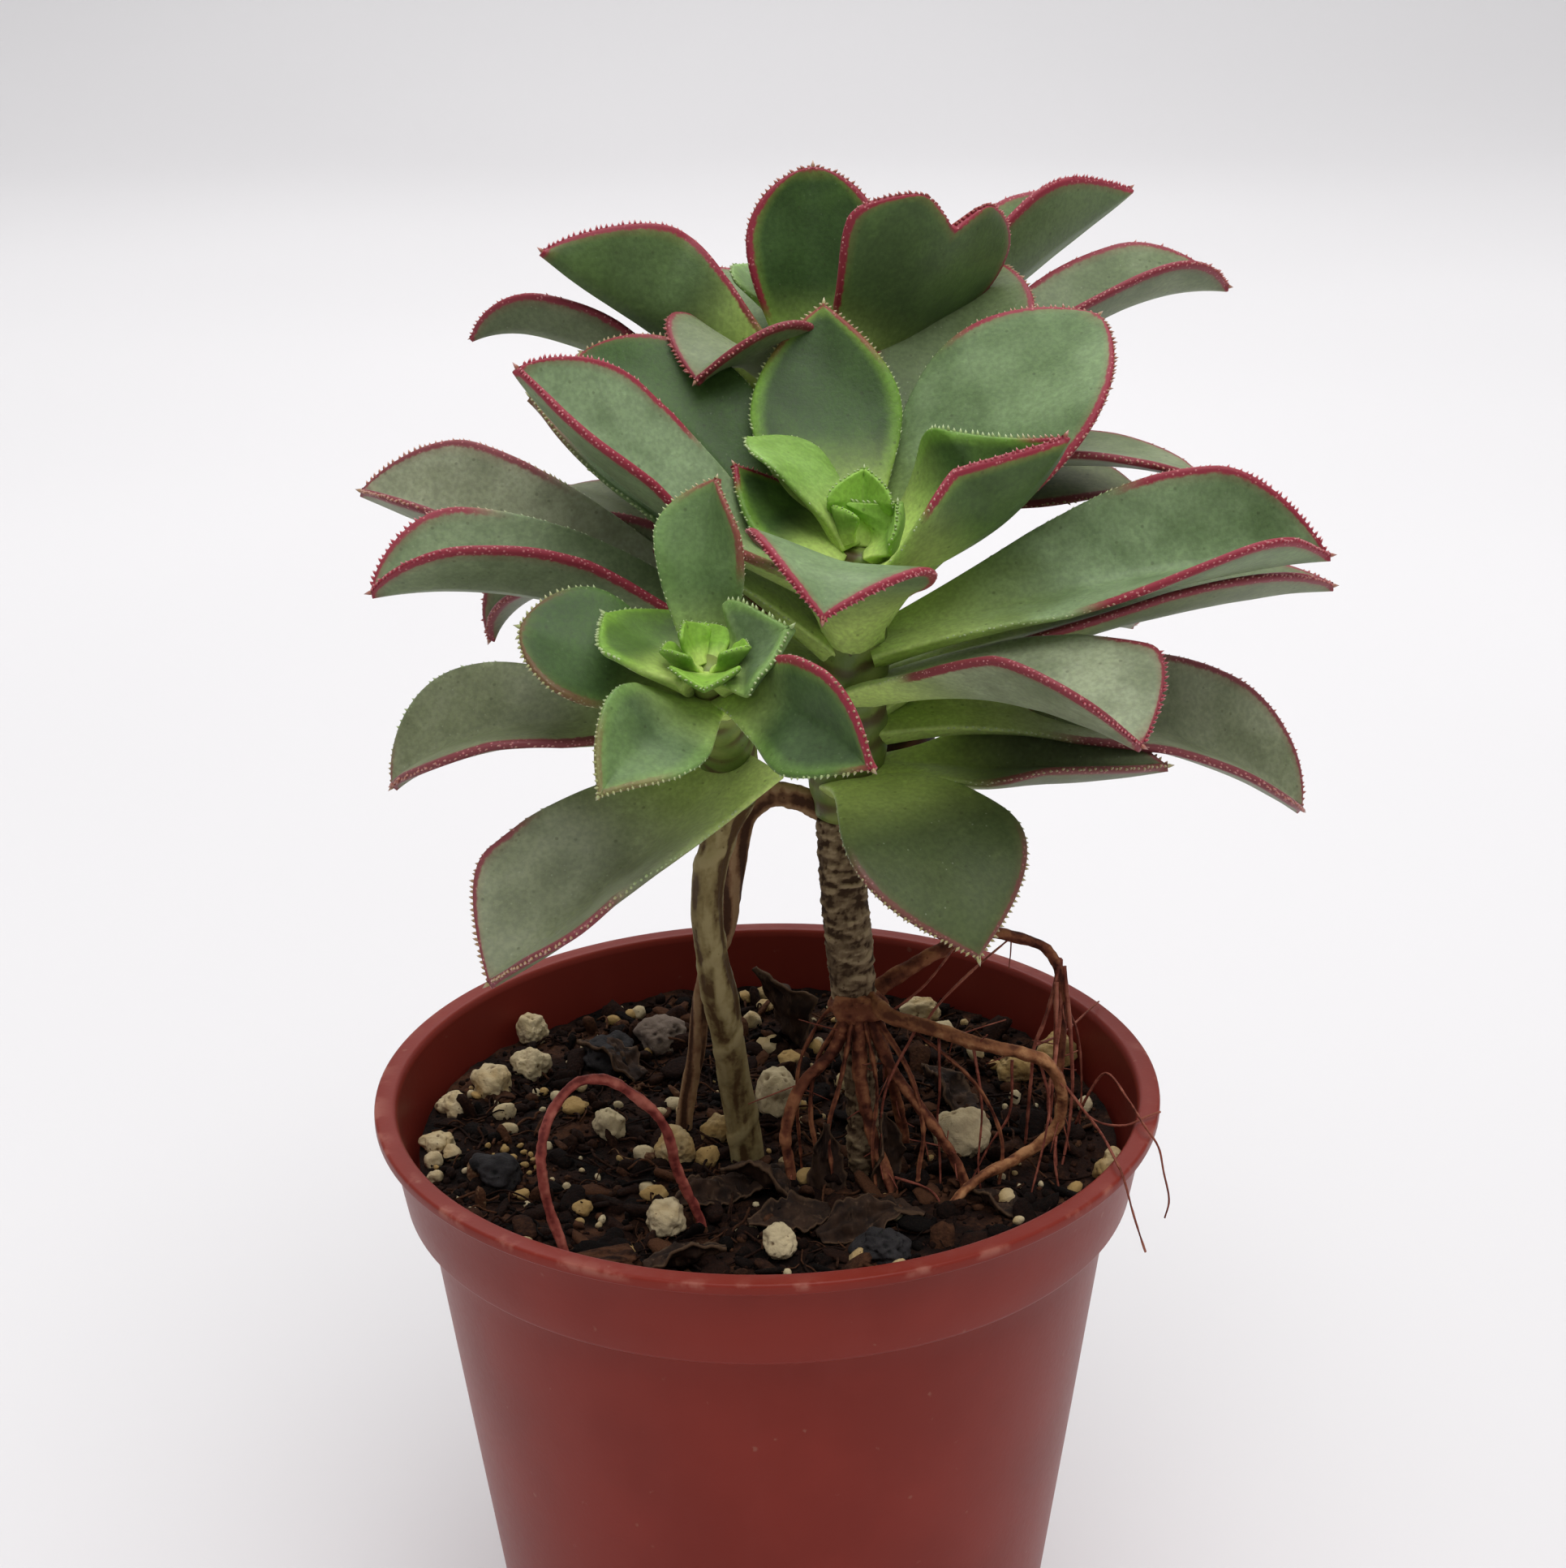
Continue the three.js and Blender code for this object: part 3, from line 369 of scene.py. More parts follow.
def make_leaf_tone():
    """Colour of a leaf: green by age, lime foot, waxy film that is partly painted sheen, dark blotch,
    painted shade over whole leaves, and crimson margin with partly painted glints.
    """
    tree, given, out = group(
        "leaf_tone",
        dict.fromkeys(LEAF_MASKS + TONES, 0.5),
        {"Colour": "Color", "Roughness": "Float", "Height": "Float"},
    )
    along, rim, under, age, red, wax, shade, cloud, grain, speck = (
        given.outputs[key] for key in LEAF_MASKS + TONES
    )
    broad = noise(tree, 11.0, detail=2.0)

    body = mix(tree, between(tree, age, 0.0, 0.42), LIME, GREEN)
    body = mix(tree, between(tree, age, 0.50, 1.0), body, OLIVE)
    # young leaves stay lime round a dark blotch, in from the margin and up from the foot
    young = between(tree, age, 0.62, 0.40)
    sprout = between(tree, age, 0.14, 0.26)
    inner = times(tree, between(tree, rim, 0.1, 1.7), between(tree, along, 0.16, 0.45))
    inner = times(tree, inner, between(tree, broad, 0.30, 0.52, 0.55, 1.0))
    blotch = times(tree, inner, times(tree, young, sprout))
    body = mix(tree, times(tree, young, 0.28), body, LIME)
    body = mix(tree, times(tree, blotch, 0.90), body, DEEP)
    old = times(tree, inner, between(tree, age, 0.45, 0.8))
    old = times(tree, old, between(tree, cloud, 0.44, 0.62))
    body = mix(tree, times(tree, old, 0.50), body, (0.050, 0.060, 0.022))
    # painted shade: the leaf's shade value darkens all of it towards deep green, as if the leaf stood in
    # shade
    body = mix(tree, shade, body, DEEP)
    foot = between(tree, along, 0.10, 0.54, 1.0, 0.0)
    body = mix(tree, times(tree, foot, 0.85), body, PALE_FOOT)
    # waxy film, partly painted sheen: leaves are lightened towards pale grey-green where they would catch
    # the bright surroundings
    film = times(tree, wax, between(tree, cloud, 0.28, 0.66, 0.75, 1.15))
    film = times(tree, film, between(tree, along, 0.10, 0.45, 0.25, 1.0))
    bloom_and_sheen = mix(tree, between(tree, age, 0.55, 0.95), WAX_AND_SHEEN, OLD_WAX_AND_SHEEN)
    body = mix(tree, film, body, bloom_and_sheen)
    below = mix(tree, 0.5, body, mix(tree, between(tree, age, 0.2, 0.9), LEAF_BACK, OLD_LEAF_BACK))
    below = mix(tree, times(tree, foot, 0.75), below, PALE_FOOT)
    body = mix(tree, times(tree, under, 0.85), body, below)
    # fine mottling, dark freckles and pale specks
    light = between(tree, grain, 0.3, 0.7, 0.88, 1.12)
    light = times(tree, light, between(tree, cloud, 0.3, 0.7, 0.84, 1.15))
    scuff = between(tree, noise(tree, 2.2, place(tree, (1, 1, 2.2)), 5.0, 0.7), 0.54, 0.72, 1.0, 1.20)
    light = times(tree, light, scuff)
    grey = node(tree, "CombineColor", {"Red": light, "Green": light, "Blue": light}).outputs[0]
    body = mix(tree, 1.0, body, grey, "MULTIPLY")
    body = mix(tree, times(tree, speck, 0.35), body, (0.03, 0.030, 0.012))
    pale = times(tree, dots(tree, 1.15, 0.11), between(tree, age, 0.4, 0.9, 0.10, 0.38))
    body = mix(tree, pale, body, (0.36, 0.40, 0.27))
    # flush and margin
    flush = times(tree, between(tree, rim, 1.5, 0.2), between(tree, along, 0.30, 0.85))
    flush = times(tree, flush, times(tree, red, 0.34))
    body = mix(tree, flush, body, (0.24, 0.075, 0.050))
    wavy = maths(tree, "MULTIPLY_ADD", grain, 0.5, -0.25)
    edge = between(tree, maths(tree, "ADD", rim, wavy), 0.55, 0.18)
    edge = times(tree, edge, between(tree, red, 0.0, 0.6))
    edge = times(tree, edge, between(tree, along, 0.06, 0.34))
    margin = mix(tree, between(tree, age, 0.62, 0.95), CRIMSON, OLD_CRIMSON)
    margin = mix(tree, between(tree, along, 0.15, 0.45), RUST, margin)
    # pale pink dots on the crimson margin: paler papillae, partly painted glints
    bead = times(tree, dots(tree, 0.50, 0.30), between(tree, rim, 0.45, 0.10, 0.0, 0.62))
    margin = mix(tree, bead, margin, (0.66, 0.27, 0.27))
    body = mix(tree, edge, body, margin)
    pale_bead = times(tree, dots(tree, 0.45, 0.26), between(tree, rim, 0.30, 0.05, 0.0, 0.30))
    pale_bead = times(tree, pale_bead, maths(tree, "SUBTRACT", 1.0, edge))
    body = mix(tree, pale_bead, body, (0.50, 0.58, 0.30))

    gloss = maths(tree, "MULTIPLY_ADD", grain, 0.16, 0.38)
    gloss = maths(tree, "MULTIPLY_ADD", wax, 0.12, gloss)
    skin = maths(tree, "MULTIPLY_ADD", noise(tree, 0.22, detail=1.0), 0.4, grain)
    dress(tree, out, Colour=body, Roughness=gloss, Height=skin)
    return tree


LEAF_TONE = make_leaf_tone()


def leaf_finish(name):
    made, tree, shader = new_finish(name, Specular_IOR_Level=0.28, Subsurface_Scale=0.0012)
    shader.inputs["Subsurface Weight"].default_value = 0.18
    shader.inputs["Subsurface Radius"].default_value = (0.6, 1.0, 0.25)
    shader.inputs["Sheen Weight"].default_value = 0.04
    shader.inputs["Sheen Roughness"].default_value = 0.45
    shader.inputs["Sheen Tint"].default_value = (0.86, 0.92, 0.84, 1)
    tone = use(tree, MOTTLE, Cloud=6.0, Grain=0.50, Speck=1.7)
    given = {key: mask(tree, key) for key in LEAF_MASKS}
    given.update((key, tone[key]) for key in TONES)
    skin = use(tree, LEAF_TONE, **given)
    rise = bump(tree, skin["Height"], 0.05, 0.6)
    dress(tree, shader, Base_Color=skin["Colour"], Roughness=skin["Roughness"], Normal=rise)
    return made


def tooth_finish():
    """Margin teeth: crimson on old leaves, pale green on young ones, with whitish tips that are partly
    painted glints.
    """
    made, tree, shader = new_finish("margin_teeth", Roughness=0.34, Specular_IOR_Level=0.5)
    red, tip = mask(tree, "red"), mask(tree, "tip")
    body = mix(tree, red, (0.36, 0.48, 0.18), (0.36, 0.035, 0.055))
    # whitish tips: paler tooth ends, partly painted glints
    end = mix(tree, red, (0.50, 0.58, 0.33), (0.60, 0.25, 0.25))
    body = mix(tree, between(tree, tip, 0.35, 0.9), body, end)
    dress(tree, shader, Base_Color=body)
    return made


# ------------------------------------------------------------------ leaves
LEAF_THICK_FOOT = 3.0
LEAF_THICK_MID = 1.9
LEAF_THICK_TIP = 1.0
MARGIN = 0.60           # thickness of the blunt margin where it is green
TOOTH_STEP = 0.60       # spacing of the margin teeth
TOOTH_LONG = 0.32
TOOTH_WIDE = 0.22       # radius at the foot
STATIONS = 46           # sections along a leaf
ACROSS_UP = 17          # points across the upper face
ACROSS_LOW = 13
BEAD = 5                # points round each margin
STEM_TIP_TOP = 0.90     # how far up its head's axis a green stem tip goes

# stem axes of the three heads: foot, mid and apex, the green tip's radius,
# how far its foot reaches below, and the radius there
HEADS = {
    "front": dict(axis=((8.5, -2, 111), (9.5, -3.5, 127), (10.3, -6, 140)), r=4.2, low=-0.1, neck=2.9),
    "back": dict(axis=((7.5, 18, 128), (6, 25, 143), (6, 29, 155)), r=3.8, low=-0.1, neck=2.8),
    "side": dict(axis=((-3.2, -17, 120), (-4, -23, 127), (-5, -29.5, 134)), r=3.0, low=-0.42, neck=2.1),
}


def row(name, level, az, e0, e1, length, wide, fold=15, roll=0, bend=1.5, **more):
    """One leaf: level on the axis (0 foot, 1 apex), heading az, elevation at its root and
    tip, length, width, fold of its V, roll about the midrib, how late it bends, and more:
    sweep (how far it turns sideways), side and out (where on the stem it grows), base, peak,
    tip and notch of its outline, full (where the fold is complete), wave of its margins, and
    its looks: age, red, waxy film that is partly painted sheen, shade (painted shade over the
    whole leaf), and starts (where each margin turns red)."""
    q = dict(name=name, level=level, az=az, e0=e0, e1=e1, length=length, wide=wide)
    q.update(fold=fold, roll=roll, bend=bend, full=0.6, sweep=0, side=az, out=1)
    q.update(base=0.34, peak=0.66, tip=1.0, notch=0, wave=0.3)
    q.update(age=0.6, red=0.8, wax=0.4, shade=0.0, starts=(0.12, 0.12))
    q.update(more)
    return q


LEAVES = {
    "front": [
        row("F14", 0.20, 10, 6, -42, 51, 18, 33, 29, 1.3, base=0.34, peak=0.76, tip=0.8,
            age=0.9, wax=0.55, red=0.85, starts=(0.6, 0.4)),
        row("F15", 0.06, -6, 0, 6, 31, 15, 34, 15, 1.7, base=0.38, peak=0.57,
            age=0.95, wax=0.12, red=0.45, starts=(0.4, 0.4), shade=0.25),
        row("F13", 0.36, -34, 20, -20, 31.8, 23.5, 29, -6, 1.0, base=0.44, peak=0.81, tip=0.88,
            age=0.8, wax=1.0, red=1.0, starts=(0.7, 0.3)),
        row("F16", 0.02, -62, 23, -61, 28.5, 19, 4, 3, 0.85, base=0.44, peak=0.58, tip=1.1,
            age=1.0, wax=0.0, red=0.38, starts=(0.6, 0.55), shade=0.36),
        row("F7", 0.50, 4, 16, 1, 47.8, 20.5, 58, 28, 1.6, base=0.44, peak=0.77, tip=1.1, full=0.9,
            age=0.6, wax=0.80, red=1.0, starts=(0.62, 0.48)),
        row("F7b", 0.36, 11, 13, -3, 50.5, 15.5, 24, -4, 2.4, peak=0.72, tip=0.85,
            age=0.8, wax=0.3, red=0.9, starts=(0.3, 0.3)),
        row("F2", 0.62, 32, 52, 31, 39.7, 21, 8, 20, 1.6, base=0.38, peak=0.65, tip=0.69,
            age=0.55, wax=0.6, red=0.75, starts=(0.74, 0.4)),
        row("F1", 0.82, 111, 47, 65, 29, 15.6, 4, -6, 2, sweep=-26, base=0.40, peak=0.59, tip=0.94,
            age=0.27, wax=0.05, red=0.45, starts=(0.8, 0.78), shade=0.06),
        row("F22", 0.60, 67, 41, 30, 50, 16.6, 15, 7, side=80, base=0.35, peak=0.78, tip=0.75,
            age=0.75, wax=0.3, red=0.6, starts=(0.5, 0.55)),
        row("F4", 0.46, 146, 53, 17, 43.5, 17, 23, -19, 1.9, side=120, peak=0.70, tip=0.7,
            age=0.55, wax=0.05, red=0.5, starts=(0.7, 0.8), shade=0.48),
        row("F3", 0.72, 186, 26, 53, 40, 18.3, 32, -20, 1.4, base=0.38, peak=0.72, tip=0.71,
            age=0.62, wax=1.0, red=1.0, starts=(0.12, 0.55)),
        row("F3b", 0.50, 168, 40, 37, 40.2, 14, 20, -17, side=200,
            age=0.6, wax=0.4, red=0.3, starts=(0.8, 0.9)),
        row("F5", 0.38, 170, 21.5, 15.5, 52.6, 17, 43, -23, 3.6, side=150, base=0.34, peak=0.82, tip=0.82,
            age=0.9, wax=0.95, red=0.75, starts=(0.12, 0.66)),
        row("F6", 0.28, 190, 35.5, -8, 49.8, 15.6, 50, -7, 1.6, side=212, base=0.41, peak=0.82, tip=0.79,
            age=0.7, wax=0.8, red=1.0, starts=(0.12, 0.80)),
        row("F19", 0.20, 160, 45, -68, 46.5, 13.5, 42, -38, 2.0, tip=0.85, age=0.85, wax=0.35, red=0.9),
        row("F20", 0.28, 142, 42, 2, 41, 16, 15, tip=0.8, age=0.9, wax=0.3, red=0.6),
        row("F8", 0.55, -98, 56, -38, 30.3, 18.8, 10, -12, 1.7, base=0.34, peak=0.56, tip=1.15, full=1.0,
            age=0.6, wax=0.55, red=1.0, starts=(0.34, 0.34)),
        row("F21", 0.26, 38, 18, -22, 40, 15, 15, tip=0.8, age=0.9, wax=0.3, red=0.7),
        row("F24", 0.10, 130, 12, -32, 36, 15, 20, tip=0.8, age=0.9, wax=0.3, red=0.7),
        row("F9", 0.80, -7, 21, 66, 24.3, 22.4, 60, 11, 1.75, base=0.7, peak=0.42,
            age=0.30, wax=0.1, red=1.0, starts=(0.92, 0.42)),
        row("F10", 0.86, 160, 24, 59, 15.1, 11, 6, -15, 2, base=0.5, peak=0.42,
            age=0.30, wax=0.1, red=0.8, starts=(0.88, 0.5)),
        row("F11", 0.90, 148, 60, 10, 16, 11.5, 8, 5, 1.3, age=0.12, wax=0.35, red=0.0),
        row("F12a", 0.90, 80, 80, 86, 7.8, 9, 45, base=0.5, age=0.05, wax=0.15, red=0.0),
        row("F12b", 0.88, -16, 50, 88, 6.2, 10.5, 38, 50, base=0.5, age=0.15, wax=0.15, red=0.0),
        row("F12c", 0.94, 190, 60, 70, 4.0, 6.0, 30, base=0.5, age=0.05, wax=0.1, red=0.0),
    ],
    "back": [
        row("B1", 0.66, 188, 20, 39, 32.2, 19.5, 56, 42, 0.9, base=0.5, peak=0.64, tip=0.82,
            age=0.44, wax=0.1, red=1.0, shade=0.3),
        row("B2", 0.38, 171, 29.5, -28, 40.5, 9.5, 48, 19, 4.6, base=0.38, peak=0.80,
            age=0.75, wax=0.5, red=0.9),
        row("B3", 0.60, 91, 80, 76, 25.2, 15.6, 19, -1, 1.5, base=0.38, peak=0.68, tip=0.62,
            age=0.42, wax=0.05, red=0.8, starts=(0.4, 0.55), shade=0.2),
        row("B4", 0.62, -17, 43, 68, 27.5, 24.5, 9, -34, 1.0, side=-60, base=0.36, peak=0.79, tip=0.5,
            notch=3.4, age=0.44, wax=0.05, red=0.9, starts=(0.45, 0.40), shade=0.32),
        row("B5", 0.50, 31, 28, 28, 47.7, 18.4, 47, -19, 1.2, side=90, peak=0.72, tip=1.1,
            age=0.6, wax=0.2, red=1.0, starts=(0.2, 0.2)),
        row("B6", 0.30, 18, 31, -12, 51, 14.8, 38, 4, 3.6, peak=0.80, tip=1.1,
            age=0.75, wax=0.5, red=0.9, starts=(0.5, 0.15)),
        row("B8", 0.60, -128, 44, -32, 21.8, 18.8, 25, 5, 1.9, base=0.38, peak=0.66, tip=1.1,
            age=0.8, wax=0.5, red=0.9, starts=(0.25, 0.25)),
        row("B10", 0.88, 140, 34, 30, 12, 10, 20, age=0.2, wax=0.5, red=0.0),
        row("B11", 0.16, -22, 32, -16, 41.5, 15.5, 8, -4, 1.5, tip=0.8,
            age=0.8, wax=0.45, red=0.8, starts=(0.4, 0.4)),
        row("B11b", 0.04, -2, 41, -21, 34, 13.4, 0, 11, 1.3, tip=0.85, age=0.9, wax=0.3, red=0.6),
        row("B12", 0.22, 84, 40, 0, 36, 17, 20, tip=0.8, age=0.8, wax=0.4, red=0.8),
        row("B13", 0.34, 124, 48, 8, 34, 16, 20, tip=0.8, age=0.7, wax=0.4, red=0.8),
        row("B14", 0.18, 146, 34, -16, 36, 15, 25, tip=0.8, age=0.85, wax=0.4, red=0.8),
        row("B15", 0.04, 104, 18, -28, 36, 15, 22, tip=0.8, age=0.9, wax=0.3, red=0.8),
        row("B16", 0.10, 48, 24, -28, 38, 15, 22, tip=0.8, age=0.9, wax=0.3, red=0.8),
        row("B17", 0.74, -60, 40, 54, 5.5, 6.5, 30, base=0.5, age=0.2, wax=0.1, red=0.0),
        row("B18", 0.78, 20, 60, 72, 5, 6, 30, base=0.5, age=0.10, wax=0.1, red=0.0),
        row("B19", 0.78, 230, 58, 70, 5, 6, 30, base=0.5, age=0.08, wax=0.1, red=0.0),
    ],
    "side": [
        row("S1", 0.60, 123, 82, 68, 20.5, 9.8, 28, 7, 1.6, sweep=-80, peak=0.72,
            age=0.50, wax=0.32, red=0.4, starts=(0.88, 0.55)),
        row("S2", 0.45, 176, 31, 17, 19.3, 13, 9, -36, 1.6, base=0.46, peak=0.68, tip=0.6,
            age=0.5, wax=0.08, red=0.24, starts=(0.45, 0.85), shade=0.55),
        row("S3", 0.80, 153, 15, 38, 11.3, 15.5, 10, 1, 1.2, base=0.6, peak=0.53, tip=0.93,
            age=0.22, wax=0.05, red=0.0),
        row("S4", 0.60, 241, 2, -26, 19.8, 11, 20, -36, 1.7, base=0.5, peak=0.54, tip=1.1,
            age=0.38, wax=0.36, red=0.22, starts=(0.7, 0.7)),
        row("S5", 0.60, -51, 28, -26, 22.3, 12, 31, 68, 0.8, base=0.38, peak=0.68, tip=1.1,
            age=0.42, wax=0.15, red=0.6, starts=(0.28, 0.95), shade=0.25),
        row("S6", 0.80, -13, 32, 47, 8.8, 12.5, 28, 40, 1.4, base=0.45, peak=0.46, tip=1.1,
            age=0.28, wax=0.4, red=0.0),
        row("S7", 0.84, -92, 12, 2, 5.8, 7.2, 24, base=0.5, age=0.10, wax=0.1, red=0.0),
        row("S8", 0.88, 95, 44, 52, 4.6, 5.5, 24, base=0.5, age=0.08, wax=0.1, red=0.0),
        row("S9", 0.88, 200, 30, 44, 4.4, 5, 24, base=0.5, age=0.08, wax=0.1, red=0.0),
        row("S10", 0.88, -20, 34, 50, 4.4, 5.2, 24, base=0.5, age=0.05, wax=0.1, red=0.0),
        row("S11", 0.91, 140, 60, 74, 4.4, 4.6, 24, base=0.5, age=0.03, wax=0.1, red=0.0),
        row("F17", 0.00, 208, -32, -28, 33.3, 22.5, 32, -6, 2.9, side=-35, out=2.0, base=0.63, peak=0.74,
            age=1.0, wax=0.44, red=0.6, starts=(0.6, 0.6), shade=0.08),
        row("F18", 0.20, 173, 5, -47, 33.5, 14.4, 32, -26, 2.2, base=0.4, peak=0.71, tip=0.87,
            age=0.95, wax=0.35, red=0.8, starts=(0.15, 0.97)),
    ],
}


def head_axis(head, level):
    a, b, c = (np.array(p, float) for p in head["axis"])
    return a * (1 - level) ** 2 + b * 2 * level * (1 - level) + c * level**2


def outline(t, base, peak, tip):
    """Share of the full half width: narrow foot, broad shoulder, and a tip that is
    pointed at 1 and blunter below."""
    u = clamp(t / peak)
    v = clamp((t - peak) / (1 - peak))
    return np.where(t < peak, base + (1 - base) * (u * u * (3 - 2 * u)) ** 1.05, (1 - v**1.9) ** tip)


def crowded(count):
    """Places across the blade from -1 to 1, closer together near the margins."""
    x = np.linspace(-1, 1, count)[1:-1]
    return 0.55 * x + 0.45 * np.sin(x * math.pi / 2)


def blade_frame(q, root, t):
    """Midrib points of a leaf at t, with its directions ahead, up and sideways."""
    steps = 240

    def lean(s):
        rise = q["e0"] + (q["e1"] - q["e0"]) * s ** q["bend"]
        return np.radians(rise), np.radians(q["az"] + q["sweep"] * s)

    def ahead(s):
        e, a = lean(s)
        return np.stack([np.cos(e) * np.cos(a), np.cos(e) * np.sin(a), np.sin(e)], -1)

    path = np.vstack([[0, 0, 0], np.cumsum(ahead((np.arange(steps) + 0.5) / steps), 0)])
    path = root + path * q["length"] / steps
    grid = np.linspace(0, 1, steps + 1)
    middle = np.stack([np.interp(t, grid, path[:, k]) for k in range(3)], 1)
    e, a = lean(t)
    forward = ahead(t)
    up = np.stack([-np.sin(e) * np.cos(a), -np.sin(e) * np.sin(a), np.cos(e)], 1)
    right = np.cross(forward, up)
    r = np.radians(q["roll"]) * clamp(t / 0.4)[:, None]
    return middle, forward, up * np.cos(r) + right * np.sin(r), right * np.cos(r) - up * np.sin(r)


def reddened(q, t, side):
    """How red one margin is along the leaf."""
    start = q["starts"][side]
    return min(1.0, q["red"]) * smooth(start - 0.10, start + 0.12, t)


def leaf(q, head, teeth, finish, nodes, slot):
    """One leaf piece, and its margin teeth added to the head's teeth."""
    angle = math.radians(q["side"])
    reach = head["r"] * 0.5 * (1 - 0.5 * q["level"]) * q["out"]
    root = head_axis(head, q["level"]) + reach * np.array([math.cos(angle), math.sin(angle), 0])
    rng = np.random.default_rng(1000 + sum(ord(c) * (k + 3) for k, c in enumerate(q["name"])))
    t = 1 - (1 - np.linspace(0, 1, STATIONS)) ** 1.3
    middle, forward, up, right = blade_frame(q, root, t)
    small = min(1.0, max(0.55, q["wide"] / 12))
    least = 0.5 if q["notch"] else 0.28
    half = np.maximum(least, q["wide"] / 2 * outline(t, q["base"], q["peak"], q["tip"]))
    thick = np.interp(t, [0, 0.5, 1], [LEAF_THICK_FOOT, LEAF_THICK_MID, LEAF_THICK_TIP]) * small
    ripe = {-1: reddened(q, t, 0), 1: reddened(q, t, 1)}
    margin = (MARGIN + 0.22 * np.maximum(ripe[-1], ripe[1])) / 2 * max(0.72, small)
    bead = np.minimum(margin, half * 0.8) * np.interp(t, [0, 0.2, 0.9, 1], [1, 1, 1, 0.6])
    fold = np.radians(8 + (q["fold"] - 8) * clamp(t / q["full"]))
    phase = rng.uniform(0, WHOLE_TURN, 4)
    ripple = q["wave"] * half / 8 * smooth(0.1, 0.5, t)

    def middle_surface(u):
        """Point on the leaf's middle surface at u from -1 to 1 across, and its normal."""
        k = 0.16
        vee = (math.sqrt(u * u + k * k) - k) / (math.sqrt(1 + k * k) - k)
        slope = u / math.sqrt(u * u + k * k) / (math.sqrt(1 + k * k) - k)
        width = half - bead
        wave = ripple * u * u * np.sin(t * (9 if u > 0 else 11) + phase[0 if u > 0 else 1])
        dent = q["notch"] * clamp(1 - abs(width * u) / 5.2) ** 1.3 * smooth(0.62, 0.92, t)
        p = (
            middle
            + right * (width * u * np.cos(fold))[:, None]
            + up * (width * vee * np.sin(fold) + wave)[:, None]
            - forward * dent[:, None]
        )
        normal = unit(up * np.cos(fold)[:, None] - right * (slope * np.sin(fold))[:, None])
        return p, normal

    rings, u_at, low, reds = [], [], [], []
    for u in crowded(ACROSS_UP):
        p, normal = middle_surface(u)
        rise = bead + (0.36 * thick - bead) * (1 - abs(u) ** 2.2)
        rings.append(p + normal * rise[:, None])
        u_at.append(abs(u))
        low.append(0.0)
        reds.append(ripe[1 if u > 0 else -1])
    for side in (1, -1):
        p, normal = middle_surface(float(side))
        out = unit(np.cross(normal, forward)) * side
        out = out * np.sign((out * (right * side)).sum(1))[:, None]
        for turn in np.linspace(80, -80, BEAD)[:: side]:
            turn = math.radians(turn)
            rings.append(p + (out * math.cos(turn) + normal * math.sin(turn)) * bead[:, None])
            u_at.append(1.0)
            low.append(0.5 - 0.5 * math.sin(turn))
            reds.append(ripe[side])
        if side == 1:
            for u in -crowded(ACROSS_LOW):
                p, normal = middle_surface(u)
                drop = bead + (0.64 * thick - bead) * (1 - abs(u) ** 2.0)
                rings.append(p - normal * drop[:, None])
                u_at.append(abs(u))
                low.append(1.0)
                reds.append(ripe[1 if u > 0 else -1])
    skin = np.stack(rings, 1)
    sides = skin.shape[1]
    u_at, low = np.array(u_at), np.array(low)
    # faint unevenness of a living leaf
    flat = skin.reshape(-1, 3)
    flat = flat + np.repeat(up, sides, 0) * (0.10 * lumps(flat, 4.5, 5))[:, None]
    rim = (half[:, None] * (1 - u_at[None])).ravel()
    rim = np.minimum(rim, np.repeat((1 - t) * q["length"] * 0.8, sides))
    make_piece(
        "leaf_" + q["name"].lower(), flat, ring_faces(STATIONS, sides), finish, nodes, slot,
        along=np.repeat(t, sides), rim=rim, under=np.tile(low, STATIONS),
        age=q["age"], red=np.stack(reds, 1).ravel(), wax=q["wax"], shade=q["shade"],
    )
    add_teeth(q, teeth, middle_surface, ripe, forward, right, rng, middle, bead)


def add_teeth(q, teeth, middle_surface, ripe, forward, right, rng, middle, bead):
    """Small forward-leaning teeth along both margins, and the pale point at the tip."""
    fine = float(clamp(q["wide"] / 13, 0.45, 1.0))
    for side in (1, -1):
        p, normal = middle_surface(float(side))
        out = unit(right * side - normal * (right * side * normal).sum(1)[:, None])
        run = np.concatenate([[0], np.cumsum(np.linalg.norm(np.diff(p, axis=0), axis=1))])
        step = TOOTH_STEP * (0.8 + 0.2 * min(1, q["wide"] / 12))
        for at in np.arange(run[-1] * 0.14, run[-1] * 0.995, step):
            at = at + rng.uniform(-0.12, 0.12)
            where = [np.interp(at, run, p[:, k]) for k in range(3)]
            i = min(int(np.searchsorted(run, at)), len(run) - 1)
            lean = unit(out[i] * 0.80 + forward[i] * 0.62 + normal[i] * rng.uniform(-0.35, 0.35))
            long = TOOTH_LONG * fine * rng.uniform(0.5, 1.25) + bead[i]
            spike(teeth, np.array(where), lean, long, TOOTH_WIDE * fine, float(ripe[side][i]))
    if not q["notch"]:
        spike(teeth, middle[-1] - forward[-1] * 0.4, forward[-1], 1.15 * fine, 0.32 * fine, 0.8 * q["red"])


def spike(shape, foot, lean, long, radius, red, sides=5):
    """A slender cone with a rounded body, from foot along lean."""
    a = unit(np.cross(lean, UP if abs(lean[2]) < 0.9 else SIDEWAYS))
    b = np.cross(lean, a)
    turn = np.linspace(0, 2 * math.pi, sides, endpoint=False)[:, None]
    around = a * np.cos(turn) + b * np.sin(turn)
    body = foot + lean * long * 0.55 + around * radius * 0.66
    points = np.vstack([foot + around * radius, body, [foot + lean * long]])
    faces = []
    for j in range(sides):
        k = (j + 1) % sides
        faces.append((j, k, sides + k, sides + j))
        faces.append((sides + j, sides + k, 2 * sides))
    faces.append(tuple(reversed(range(sides))))
    tip = np.concatenate([np.zeros(sides), np.full(sides, 0.45), [1.0]])
    shape.add(points, faces, red=red, tip=tip)


